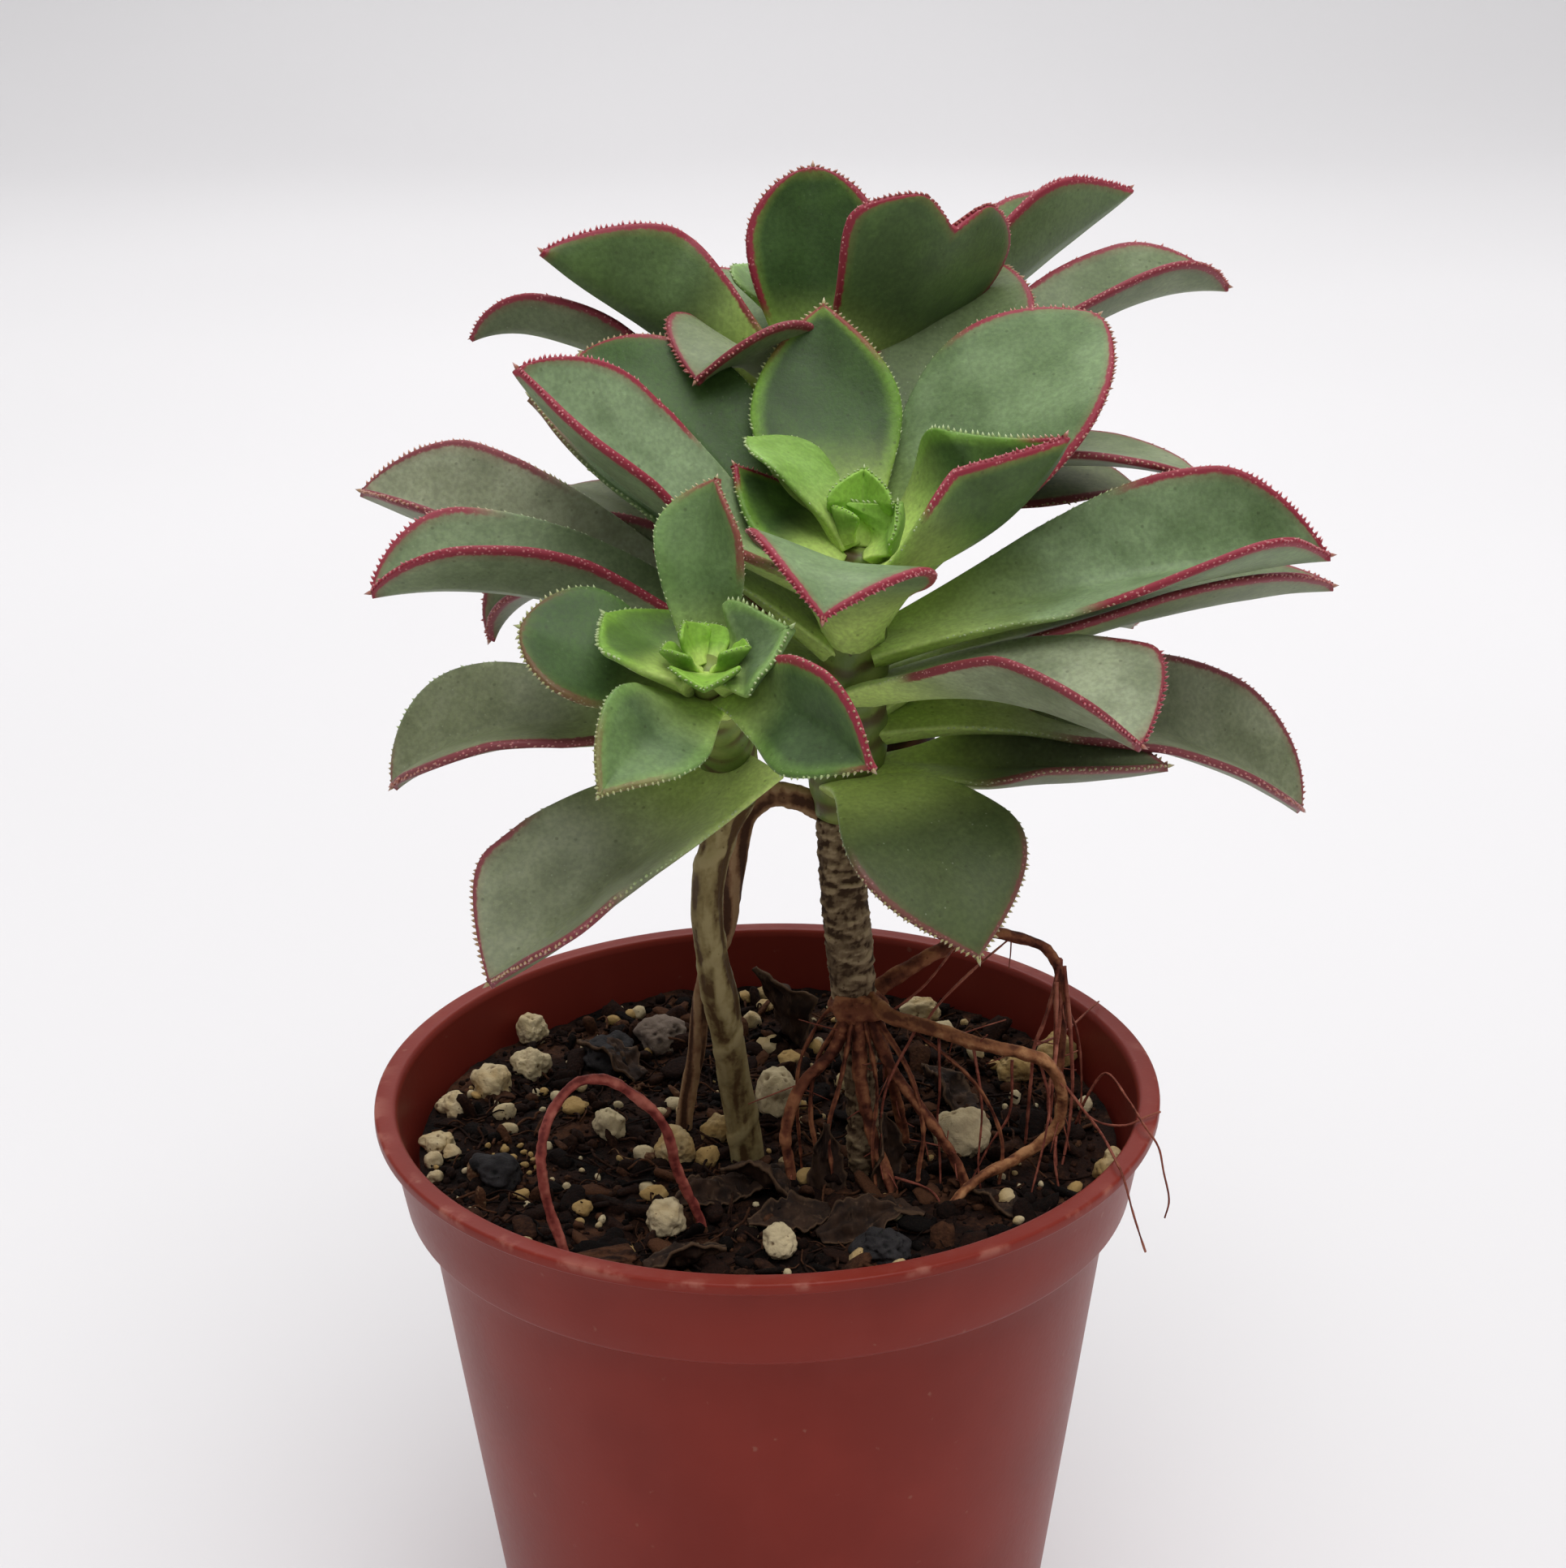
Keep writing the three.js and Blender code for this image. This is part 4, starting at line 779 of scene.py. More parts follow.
def stem_tip(name, head, finish, nodes, slot):
    """The green stem between the leaves of a head."""
    levels = np.linspace(head["low"], STEM_TIP_TOP, 7)
    points = [head_axis(head, level) for level in levels]
    neck = head["r"] + (head["neck"] - head["r"]) * np.minimum(1, levels / head["low"])
    radii = np.where(levels < 0, neck, head["r"] * (1 - 0.62 * levels**2)) - 0.1

    def scars(along, around, at):
        return 0.10 * np.sin(along * 60 + 2 * np.sin(around)) + 0.12 * lumps(at, 1.6, 3)

    skin, faces, lift = tube(points, radii, 36, 60, scars)
    make_piece(name, skin, faces, finish, nodes, slot, lift=lift)


def make_heads():
    finish = leaf_finish("leaf_skin")
    young = leaf_finish("young_leaf_skin")
    tooth = tooth_finish()
    green = green_stem_finish()
    for name, rows in LEAVES.items():
        head, nodes = HEADS[name], ["rosette_" + name]
        slot = "young_leaf" if name == "side" else "leaf"
        skin = young if name == "side" else finish
        teeth = Shape()
        for q in rows:
            leaf(q, head, teeth, skin, nodes, slot)
        teeth.piece(name + "_margin_teeth", tooth, nodes, slot)
        stem_tip(name + "_stem_tip", head, green, nodes, slot)


# ------------------------------------------------------------------ stems and roots
def green_stem_finish():
    made, tree, shader = new_finish("green_stem_tip", Roughness=0.48)
    tone = use(tree, MOTTLE, Cloud=3.5, Grain=0.6, Speck=1.6)
    body = mix(tree, between(tree, tone["Cloud"], 0.35, 0.65), (0.13, 0.19, 0.035), (0.24, 0.29, 0.070))
    body = mix(tree, between(tree, mask(tree, "lift"), 0.02, -0.16), body, (0.10, 0.07, 0.025))
    body = mix(tree, times(tree, tone["Speck"], 0.6), body, (0.07, 0.035, 0.015))
    dress(tree, shader, Base_Color=body, Normal=bump(tree, tone["Grain"], 0.12, 0.5))
    return made


def make_relief_tone():
    """Colour of a stem or root: lighter crests and dark crevices, by the relief of its mesh."""
    numbers, colours = ("lift", *TONES), ("crest", "mid", "crevice")
    plain = dict.fromkeys(numbers, 0.5) | dict.fromkeys(colours, (0.2, 0.2, 0.2))
    tree, given, out = group("relief_tone", plain, {"Colour": "Color"})
    lift, cloud, grain, speck = (given.outputs[key] for key in numbers)
    crest, mid, crevice = (given.outputs[key] for key in colours)
    lift = maths(tree, "MULTIPLY_ADD", grain, 0.14, maths(tree, "ADD", lift, -0.07))
    body = mix(tree, between(tree, lift, -0.10, 0.02), crevice, mid)
    body = mix(tree, between(tree, lift, 0.0, 0.13), body, crest)
    body = mix(tree, between(tree, cloud, 0.55, 0.75), body, mid)
    body = mix(tree, times(tree, speck, 0.6), body, crevice)
    dress(tree, out, Colour=body)
    return tree


RELIEF_TONE = make_relief_tone()


def woody_finish(name, crest, mid, crevice, gloss=0.8, grain=0.5, depth=0.15):
    made, tree, shader = new_finish(name, Roughness=gloss, Specular_IOR_Level=0.14)
    tone = use(tree, MOTTLE, Cloud=3.0, Grain=grain, Speck=1.2)
    given = dict(lift=mask(tree, "lift"), crest=crest, mid=mid, crevice=crevice)
    given.update((key, tone[key]) for key in TONES)
    skin = use(tree, RELIEF_TONE, **given)
    dress(tree, shader, Base_Color=skin["Colour"], Normal=bump(tree, tone["Grain"], depth, 0.8))
    return made


TRUNK = [
    (10.3, -8.0, 62), (10.3, -8.0, 65.6), (10.3, -7.9, 70), (9.9, -5.4, 81), (9.2, -4.2, 90),
    (8.4, -3, 99), (8.3, -1.7, 107.3),
]
TRUNK_R = [1.7, 1.7, 1.7, 2.1, 2.5, 2.5, 2.8]
FORK = [
    (8.4, -2.9, 100.5), (11, 0.8, 105.5), (14.6, 6, 110.5), (15.6, 10, 115.5), (12.6, 14, 120.5),
    (8.06, 16.1, 124.25),
]
FORK_R = [2.3, 2.6, 2.9, 3.0, 2.9, 2.8]
SIDE_STEM = [
    (-2.3, -5.2, 62), (-2.3, -5.2, 65.6), (-2.3, -5.3, 70), (-3.5, -6.5, 79.4), (-4.5, -9, 89.2),
    (-5.0, -9.8, 92.4), (-5.8, -11.0, 100.4), (-5.4, -11.2, 105.5), (-4.2, -11.0, 109.8),
    (-2.53, -11.83, 113.8),
]
SIDE_STEM_R = [1.8, 1.8, 1.8, 1.7, 1.65, 1.9, 1.6, 1.6, 1.7, 2.0]
DRIED_STEM = [
    (7.4, -0.8, 107.2), (3.8, 0.2, 108.9), (0.8, 0.6, 109.2), (-2.0, 1.0, 106.8), (-3.3, 1.5, 99.6),
    (-3.9, 1.8, 94), (-6.7, 2.0, 87.1), (-7.8, 2.0, 78), (-9.2, 1.6, 70.2), (-9.3, 1.6, 67),
    (-9.3, 1.6, 64),
]
DRIED_STEM_R = [1.3, 1.3, 1.3, 1.2, 1.0, 0.9, 0.95, 0.9, 0.85, 0.85, 0.85]
ARCH_ROOT = [
    (-20.3, -26.3, 64), (-20.3, -26.3, 67), (-20.5, -26.2, 70), (-22.1, -25, 75.4), (-22.5, -24.5, 80.7),
    (-21.3, -24, 84.9), (-18.8, -23.5, 87.8), (-16.1, -22.5, 87.7), (-12.6, -21.5, 84.9),
    (-10.2, -21, 81.4), (-9.2, -20.4, 76.2), (-7.0, -20, 70), (-6.8, -20, 67), (-6.8, -20, 64),
]
ARCH_ROOT_R = [0.52]
TRUNK_ROOTS = [  # the points of each, then its radii
    ([(11, -5.6, 88.2), (12.8, -8, 87.5), (17.5, -9, 86.2), (21.7, -10, 85.1), (29.4, -10, 82.6),
      (31.2, -9.6, 78.8), (30.4, -9.6, 74.6), (27, -11, 72.4), (21, -15.8, 71.4), (17.6, -19.2, 68),
      (17.6, -19.2, 64.5)],
     [0.95, 0.85, 0.75, 0.7, 0.65, 0.6, 0.6, 0.55, 0.5, 0.45, 0.45]),
    ([(9.9, -6.6, 88.3), (9.9, -9, 81.4), (11.1, -11, 74.8), (13.1, -13.8, 69.4), (13.2, -13.9, 64.5)],
     [0.9, 0.75, 0.65, 0.6, 0.5]),
    ([(8.9, -6.2, 87.6), (7.3, -8, 83.8), (3.6, -10, 80.1), (2.0, -11.5, 76), (2.4, -12, 70.6),
      (2.4, -12, 64.5)],
     [0.8, 0.65, 0.6, 0.55, 0.5, 0.45]),
    ([(10.8, -6.6, 86.8), (13.3, -9, 81.4), (18.0, -12.6, 75.9), (20.6, -13.4, 70.6), (20.7, -13.4, 64.5)],
     [0.7, 0.6, 0.55, 0.5, 0.45]),
    ([(10.8, -3.2, 87.4), (13.6, -2, 88.9), (18.8, -1, 91.7), (23.2, 0, 93.1), (27.2, 0.6, 92.3),
      (30.3, 1, 90.7), (31.8, 1, 87.6), (32.2, 1, 82.9), (31.9, 0, 75.6), (31.8, -0.2, 64.5)],
     [1.0, 0.85, 0.7, 0.62, 0.58, 0.55, 0.45, 0.38, 0.36, 0.36]),
    ([(11.4, -4.4, 87), (13.4, -4.0, 78), (14.8, -3.4, 70), (14.8, -3.4, 64.5)],
     [0.7, 0.6, 0.55, 0.5]),
]
COLLAR_AT, COLLAR_R = (9.8, -5.0, 87.2), (3.1, 3.2, 1.7)

THICK_HAIRS = 4         # how many of the hair roots, from the first, are thick ones
SHORT_HAIRS = 11        # on each root of the trunk
# hair roots, as points along each, which hang from the larger ones
HAIR_ROOTS = [
    [(31.7, 1.0, 89.7), (31.0, 0.0, 86.1), (29.9, -1.0, 82.7), (28.9, -2.0, 80.6), (28.5, -3.0, 77.1),
     (28.0, -3.4, 69)],
    [(31.8, 1.0, 89.5), (31.8, 0.0, 83.4), (30.7, -6.0, 80.6), (30.2, -7.5, 75)],
    [(32.2, 1.0, 88.7), (32.9, -1.0, 81.2), (33.0, -3.0, 75.4), (32.1, -6.0, 70.2), (31.2, -8.0, 67.8)],
    [(31.3, 0.0, 87.3), (31.0, -3.0, 79.5), (30.2, -5.0, 75.2), (30.9, -6.0, 71.6), (31.0, -8.0, 68.0)],
    [(28.9, -2.0, 80.7), (32.8, 6.0, 78.2), (36.4, 14.0, 76.9), (38.2, 17.4, 76.6)],
    [(31.2, -10.0, 80.2), (32.4, -10.0, 78.5), (34.4, -11.0, 76.4), (37.6, -11.6, 76.0),
     (40.2, -10.6, 76.6), (41.6, -9.6, 76.5)],
    [(33.4, -10.6, 77.3), (34.7, -14.0, 76.6), (35.3, -19.4, 77.0), (36.0, -22.6, 76.3),
     (37.2, -22.4, 72), (38.2, -21.2, 68.6), (39.0, -20.4, 66)],
    [(33.4, -3.6, 72.0), (34.4, -4.4, 75.6), (36.3, -4.6, 78.6), (38.3, -8.4, 77.4),
     (39.4, -13.6, 77.0), (40.6, -15.4, 75.6), (41.4, -14.9, 72.2), (42.2, -14.3, 68.4),
     (41.9, -13.9, 66.2)],
    [(11.8, -6.6, 86.6), (13.6, -8.0, 88.2), (16.5, -8.0, 90.7), (18.9, -5.0, 92.2), (20.4, -1.0, 92.4)],
    [(16.7, -8.4, 86.6), (18.0, -7.0, 87.9), (22.3, -4.0, 91.0), (25.9, 0.0, 92.2)],
    [(18.1, -9.0, 85.9), (18.2, -10.0, 79.2), (18.0, -10.0, 76.6), (18.2, -12.0, 71.7),
     (18.2, -14.0, 67.2)],
    [(15.6, -8.9, 86.0), (12.6, -11.0, 80.5), (12.0, -11.0, 75.6), (12.6, -11.6, 69)],
    [(28.9, -9.6, 82.0), (29.8, -10.0, 77.8), (29.3, -12.0, 75.5), (27.4, -15.0, 68.9)],
    [(30.6, -10.0, 74.0), (30.3, -12.0, 72.2), (30.8, -13.0, 68.8)],
    [(13.3, -14.0, 71.5), (17.1, -15.0, 70.4), (18.5, -16.0, 68.5)],
    [(25.8, -9.6, 82.8), (25.6, -9.6, 76.4), (23.6, -10.0, 73.1), (21.8, -11.0, 69.7)],
    [(32.1, 1.0, 85.0), (34.0, 2.5, 80.0), (34.6, 2.0, 74.0), (34.4, 1.0, 69.0)],
    [(21.7, -9.6, 84.5), (22.6, -11.0, 78.0), (22.2, -12.4, 72.0), (22.6, -13.0, 68.0)],
]
# thinner roots of the collar, with the radius at the foot
SIDE_ROOTS = [
    ([(9.2, -7.4, 87.0), (7.8, -10.2, 81.0), (6.4, -12.0, 76.0), (6.8, -12.8, 71.0),
      (6.6, -13.4, 67.0)], 0.30),
    ([(10.4, -7.8, 86.6), (11.6, -10.4, 80.0), (11.0, -12.4, 74.0), (11.8, -13.4, 67.0)], 0.24),
    ([(8.0, -6.6, 86.4), (5.4, -8.0, 82.4), (4.6, -9.6, 77.0), (5.2, -10.4, 72.0),
      (4.6, -10.8, 67.0)], 0.26),
    ([(11.6, -6.8, 86.8), (15.0, -10.0, 81.6), (16.4, -12.4, 76.4), (15.8, -13.6, 71.0),
      (16.2, -14.2, 67.0)], 0.30),
    ([(12.2, -6.0, 87.4), (16.6, -8.4, 84.8), (22.0, -10.4, 80.4), (24.6, -12.0, 75.0),
      (24.2, -12.8, 68.0)], 0.24),
    ([(7.6, -5.6, 88.0), (5.6, -6.4, 86.0), (3.6, -7.6, 82.0), (3.2, -8.6, 77.6), (3.6, -9.2, 70.0)], 0.22),
]


def bark_relief(along, around, at):
    """Grey bark: low rings of leaf scars with uneven flakes between them."""
    stretched = at * np.array([1.0, 1.0, 3.4])
    flakes = rough(stretched, 1.7, 11, 4)
    height = at[:, 2] + 0.9 * lumps(at, 2.6, 2) + 0.6 * np.sin(around * 2 + at[:, 2] * 0.35)
    scar = np.abs((height / 1.9) % 1.0 - 0.5) * 2
    crack = smooth(0.62, 0.95, 1 - np.abs(lumps(at * np.array([2.2, 2.2, 0.7]), 1.5, 19)) * 2.2)
    return 0.17 * flakes + 0.09 * smooth(0.6, 1.0, scar) * (1 + lumps(at, 1.6, 5)) - 0.10 * crack


def ridged_relief(along, around, at):
    """Shrunken skin: long ridges that twist a little, with a ring at each old joint."""
    ridges = np.sin(around * 3 + along * 6 + 1.8 * lumps(at, 7.0, 4))
    fine = rough(at * np.array([2.4, 2.4, 0.35]), 1.3, 14)
    rings = smooth(0.86, 1.0, np.cos(along * 2 * math.pi * 4.6 + 0.8 * np.sin(around)))
    split = smooth(0.95, 1.0, np.cos(around - 4.2 - 0.5 * lumps(at, 9.0, 6))) * smooth(0.45, 0.55, along)
    return 0.08 * ridges + 0.10 * fine + 0.12 * rings - 0.16 * split


def shrivelled_relief(along, around, at):
    """A dead stem: deep twisted furrows."""
    return 0.17 * np.sin(around * 3 + along * 16) + 0.10 * rough(at * np.array([2, 2, 0.5]), 1.2, 9)


def root_relief(along, around, at):
    """A thin root: small knots and fine twisted strands."""
    strands = 0.05 * np.sin(around * 3 + along * 9) + 0.05 * rough(at * np.array([0.6, 2.0, 2.0]), 0.9, 26)
    return 0.10 * rough(at, 1.1, 6) + 0.15 * smooth(0.35, 0.9, lumps(at, 2.0, 16)) + strands


def add_tube(shape, points, radii, sides, count, relief, scale=1.0):
    """A stem or root added to a shape, with its relief scaled to its thickness."""
    skin, faces, lift = tube(points, radii, sides, count, lambda a, b, p: scale * relief(a, b, p))
    shape.add(skin, faces, lift=lift / scale)


def make_stems():
    bark = woody_finish(
        "old_bark", (0.38, 0.282, 0.165), (0.200, 0.136, 0.078), (0.050, 0.027, 0.014), 0.85, 0.4)
    maroon = woody_finish(
        "young_bark", (0.085, 0.032, 0.024), (0.040, 0.014, 0.011), (0.012, 0.005, 0.005), 0.55, 0.7, 0.06)
    tan = woody_finish(
        "green_tan_skin", (0.37, 0.295, 0.14), (0.25, 0.188, 0.078), (0.085, 0.046, 0.018), 0.62, 0.5, 0.08)
    dry = woody_finish(
        "dried_stem_skin", (0.38, 0.235, 0.125), (0.225, 0.115, 0.058), (0.070, 0.030, 0.016), 0.8, 0.4)
    pink = woody_finish(
        "pink_root_skin", (0.46, 0.140, 0.100), (0.30, 0.066, 0.050), (0.15, 0.026, 0.022), 0.55, 0.4, 0.08)
    # name, course, radii, points round it, rings along it, relief, finish, solid and slot
    for name, points, radii, sides, count, relief, finish, solid, slot in (
        ("trunk_bark", TRUNK, TRUNK_R, 56, 220, bark_relief, bark, "trunk", "bark"),
        ("fork_bark", FORK, FORK_R, 40, 90, root_relief, maroon, "trunk", "bark"),
        ("side_stem_skin", SIDE_STEM, SIDE_STEM_R, 48, 260, ridged_relief, tan, "side_stem", "green_stem"),
        ("dried_stem_skin", DRIED_STEM, DRIED_STEM_R, 32, 220, shrivelled_relief, dry,
         "dried_stem", "dry_stem"),
        ("arch_root_skin", ARCH_ROOT, ARCH_ROOT_R, 20, 200, root_relief, pink, "arch_root", "pink_root"),
    ):
        shape = Shape()
        add_tube(shape, points, radii, sides, count, relief)
        shape.piece(name, finish, [solid], slot)


def make_trunk_roots():
    """The long root to the right, then the others with their fused collar."""
    orange = woody_finish(
        "main_root_skin", (0.46, 0.225, 0.100), (0.270, 0.105, 0.046), (0.110, 0.036, 0.018), 0.75, 0.35)
    brown = woody_finish(
        "brown_root_skin", (0.33, 0.130, 0.060), (0.170, 0.052, 0.027), (0.060, 0.016, 0.010), 0.75, 0.35)
    main = Shape()
    add_tube(main, *TRUNK_ROOTS[0], 18, 160, root_relief)
    main.piece("main_root_skin", orange, ["trunk_roots"], "brown_root")

    roots = Shape()
    for points, radii in TRUNK_ROOTS[1:]:
        add_tube(roots, points, radii, 16, 110, root_relief)
    for points, thick in SIDE_ROOTS:
        add_tube(roots, points, [thick, thick * 0.8, thick * 0.7], 12, 80, root_relief, 0.6)
    points, faces = BALLS[5]
    skin = points * np.array(COLLAR_R) + np.array(COLLAR_AT)
    lift = 0.42 * rough(skin, 1.5, 21, 4)
    roots.add(skin + points * lift[:, None], faces, lift=lift * 0.5)
    roots.piece("trunk_roots_skin", brown, ["trunk_roots"], "brown_root")


def make_hair_roots():
    """The hanging hair roots, and short hairs all along the trunk's roots."""
    hair = woody_finish(
        "hair_root_skin", (0.36, 0.125, 0.080), (0.25, 0.070, 0.045), (0.12, 0.030, 0.020), 0.7, 0.3)
    hairs = Shape()
    for k, points in enumerate(HAIR_ROOTS):
        thin = 0.26 if k < THICK_HAIRS else 0.17
        add_tube(hairs, points, [thin, thin * 0.8, thin * 0.6], 7, 60, root_relief, 0.25)
    rng = np.random.default_rng(12)
    for points, radii in TRUNK_ROOTS:
        path = curve(points, 40)
        for at in rng.integers(3, 34, SHORT_HAIRS):
            way = rng.normal(0, 1, 3) + np.array([0, 0, -0.8])
            start, long = path[at], rng.uniform(1.2, 4.2)
            bend = rng.normal(0, 0.25, 3) * long
            course = [start, start + way * long * 0.25 + bend * 0.4, start + way * long * 0.5 + bend]
            add_tube(hairs, course, [0.10, 0.06], 5, 8, root_relief, 0.1)
    hairs.piece("hair_roots", hair, ["trunk_roots"], "brown_root")


# ------------------------------------------------------------------ pot
POT_HEIGHT = 76.0
POT_OUTER = [  # radius, height and the bevel at each corner
    (0.0, 0.0, 0), (28.4, 0.0, 0.4), (29.2, 0.8, 0.5), (37.6, 65.0, 0.35), (39.6, 65.25, 0.45),
    (41.2, 74.5, 0.35), (42.5, 74.8, 0.25), (42.5, 76.0, 0.35), (40.4, 76.0, 0.4),
    (40.05, 75.4, 0.3), (38.45, 66.6, 0.5), (36.45, 65.6, 0.5), (27.55, 1.5, 0.6), (0.0, 1.5, 0),
]
POT_SIDES = 180
INNER_FROM = 7          # rings from the lip's outer edge to the inner wall
DRAIN_SIDES = 28
DRAIN_HOLES, DRAIN_RING, DRAIN_R = 6, 20.0, 1.7


def rounded(profile, steps=4):
    """The profile with each corner replaced by a small arc."""
    points = [np.array(p[:2], float) for p in profile]
    made = [points[0]]
    for k in range(1, len(profile) - 1):
        a, b, c = points[k - 1], points[k], points[k + 1]
        cut = min(profile[k][2], 0.45 * np.linalg.norm(a - b), 0.45 * np.linalg.norm(c - b))
        start, end = b + unit(a - b) * cut, b + unit(c - b) * cut
        for t in np.linspace(0, 1, steps):
            made.append(start * (1 - t) ** 2 + b * 2 * t * (1 - t) + end * t * t)
    made.append(points[-1])
    return np.array(made)


def refined(profile, longest):
    """Extra points on the long straight runs."""
    made = [profile[0]]
    for a, b in zip(profile, profile[1:]):
        parts = max(1, int(math.ceil(np.linalg.norm(b - a) / longest)))
        made += [a + (b - a) * k / parts for k in range(1, parts + 1)]
    return np.array(made)


def pot_finish():
    """Brick-red plastic: satin, faintly flowed, rubbed pale in places along the lip where the pale line is
    partly a painted highlight, and darkened inside with painted shade.
    """
    made, tree, shader = new_finish("brick_red_plastic", Specular_IOR_Level=0.15)
    tone = use(tree, MOTTLE, Cloud=16.0, Grain=0.9, Speck=3.4)
    flow = noise(tree, 5.0, place(tree, (1, 1, 0.15)), 4.0)
    cloud = between(tree, tone["Cloud"], 0.3, 0.7)
    body = mix(tree, cloud, (0.205, 0.0230, 0.0145), (0.238, 0.0280, 0.0180))
    body = mix(tree, between(tree, flow, 0.45, 0.75, 0.0, 0.20), body, (0.25, 0.038, 0.028))
    # the pale line along the lip's outer edge is rubbed wear and partly a painted highlight
    rub_and_glint = between(tree, noise(tree, 3.4, detail=5.0), 0.49, 0.66)
    wear = times(tree, mask(tree, "wear"), rub_and_glint)
    body = mix(tree, times(tree, wear, 0.42), body, (0.50, 0.22, 0.165))
    dust = times(tree, tone["Speck"], between(tree, tone["Grain"], 0.52, 0.64))
    body = mix(tree, times(tree, dust, 0.35), body, (0.36, 0.18, 0.13))
    # painted shade: the inside of the pot, wall and floor, is darkened as if in shadow
    body = mix(tree, times(tree, mask(tree, "inside"), 0.40), body, (0.130, 0.018, 0.013))
    gloss = maths(tree, "MULTIPLY_ADD", tone["Grain"], 0.08, 0.33)
    gloss = maths(tree, "MULTIPLY_ADD", wear, 0.15, gloss)
    skin = maths(tree, "MULTIPLY_ADD", flow, 0.6, noise(tree, 0.5, detail=2.0))
    dress(tree, shader, Base_Color=body, Roughness=gloss, Normal=bump(tree, skin, 0.030, 0.4))
    return made


def make_pot():
    profile = refined(rounded(POT_OUTER), 3.5)
    count = len(profile)
    turn = np.linspace(0, 2 * math.pi, POT_SIDES, endpoint=False)
    r, z = np.repeat(profile[1:-1, 0], POT_SIDES), np.repeat(profile[1:-1, 1], POT_SIDES)
    a = np.tile(turn, count - 2)
    skin = np.stack([r * np.cos(a), r * np.sin(a), z], 1)
    # thin plastic is never quite round
    bend = 0.10 * np.sin(2 * a + 0.7) * smooth(20, 76, z) + 0.05 * lumps(skin, 22, 3)
    skin[:, :2] *= (1 + bend / np.maximum(r, 1))[:, None]
    faces = ring_faces(count - 2, POT_SIDES, closed_ends=False)
    skin = np.vstack([skin, [[0, 0, profile[0][1]], [0, 0, profile[-1][1]]]])
    low, high, last = len(skin) - 2, len(skin) - 1, (count - 3) * POT_SIDES
    for j in range(POT_SIDES):
        k = (j + 1) % POT_SIDES
        faces.append((low, k, j))
        faces.append((high, last + j, last + k))
    radius = np.hypot(skin[:, 0], skin[:, 1])
    top = np.argmax(profile[1:-1, 1] > POT_HEIGHT - 1e-3)
    ring = np.concatenate([np.repeat(np.arange(count - 2), POT_SIDES), [0, count]])
    # pale rubbed line round the lip's outer edge, partly a painted highlight
    wear = smooth(42.0, 42.35, radius) * smooth(75.3, 75.7, skin[:, 2])
    wear = np.maximum(wear, 0.25 * smooth(41.0, 42.0, radius) * smooth(75.5, 75.9, skin[:, 2]))
    # the rings inside the pot are marked for painted shade
    inside = (ring > top + INNER_FROM) * 1.0
    made = make_piece("pot_shell", skin, faces, pot_finish(), ["pot"], "pot", wear=wear, inside=inside)
    drill_drains(made)


def drill_drains(pot):
    """Six plain drain holes through the floor."""
    cutters = Shape()
    for k in range(DRAIN_HOLES):
        a = k / DRAIN_HOLES * 2 * math.pi + 0.3
        turn = np.linspace(0, 2 * math.pi, DRAIN_SIDES, endpoint=False)
        x = DRAIN_RING * math.cos(a) + DRAIN_R * np.cos(turn)
        y = DRAIN_RING * math.sin(a) + DRAIN_R * np.sin(turn)
        # from under the floor to well above it
        points = np.vstack([np.stack([x, y, np.full(DRAIN_SIDES, z)], 1) for z in (-2.0, 4.0)])
        cutters.add(points, ring_faces(2, DRAIN_SIDES))
    mesh = bpy.data.meshes.new("drain_cutters")
    mesh.from_pydata((np.concatenate(cutters.points) * MM).tolist(), [], cutters.faces)
    cutter = put("drain_cutters", mesh)
    cut = pot.modifiers.new("drains", "BOOLEAN")
    cut.operation, cut.object, cut.solver = "DIFFERENCE", cutter, "EXACT"
    bpy.context.view_layer.update()
    done = bpy.data.meshes.new_from_object(pot.evaluated_get(bpy.context.evaluated_depsgraph_get()))
    pot.modifiers.clear()
    pot.data = done
    bpy.data.objects.remove(cutter)


# ------------------------------------------------------------------ soil and stones
SOIL_Z = 69.4           # mean height of its top
SOIL_R = 38.1
SOIL_WALL = [(SOIL_R, 66.8), (35.9, 65.4), (27.2, 2.0)]
CRUMBS, FIBRES, BARK_BITS, GRAINS = 3600, 420, 300, 190


def soil_height(x, y):
    """Heights of the uneven top of the soil."""
    at = np.stack([x, y, np.zeros_like(x)], 1)
    return SOIL_Z + 0.75 * lumps(at, 11.0, 31) + 0.5 * lumps(at, 4.5, 32) + 0.32 * rough(at, 1.8, 33)


def earth_finish():
    """Potting mix: near-black to red-brown crumbs, by their own tone."""
    made, tree, shader = new_finish("potting_mix", Roughness=0.92, Specular_IOR_Level=0.12)
    tone = use(tree, MOTTLE, Cloud=5.0, Grain=0.5, Speck=1.1)
    own = maths(tree, "MULTIPLY_ADD", tone["Grain"], 0.5, maths(tree, "ADD", mask(tree, "tone"), -0.25))
    body = mix(tree, between(tree, own, 0.0, 0.45), (0.0040, 0.0026, 0.0022), (0.019, 0.0078, 0.0050))
    body = mix(tree, between(tree, own, 0.36, 0.80), body, (0.082, 0.034, 0.017))
    body = mix(tree, between(tree, own, 0.88, 1.05), body, (0.26, 0.16, 0.085))
    rise = noise(tree, 0.35, detail=4.0)
    dress(tree, shader, Base_Color=body, Normal=bump(tree, rise, 0.3, 0.9))
    return made


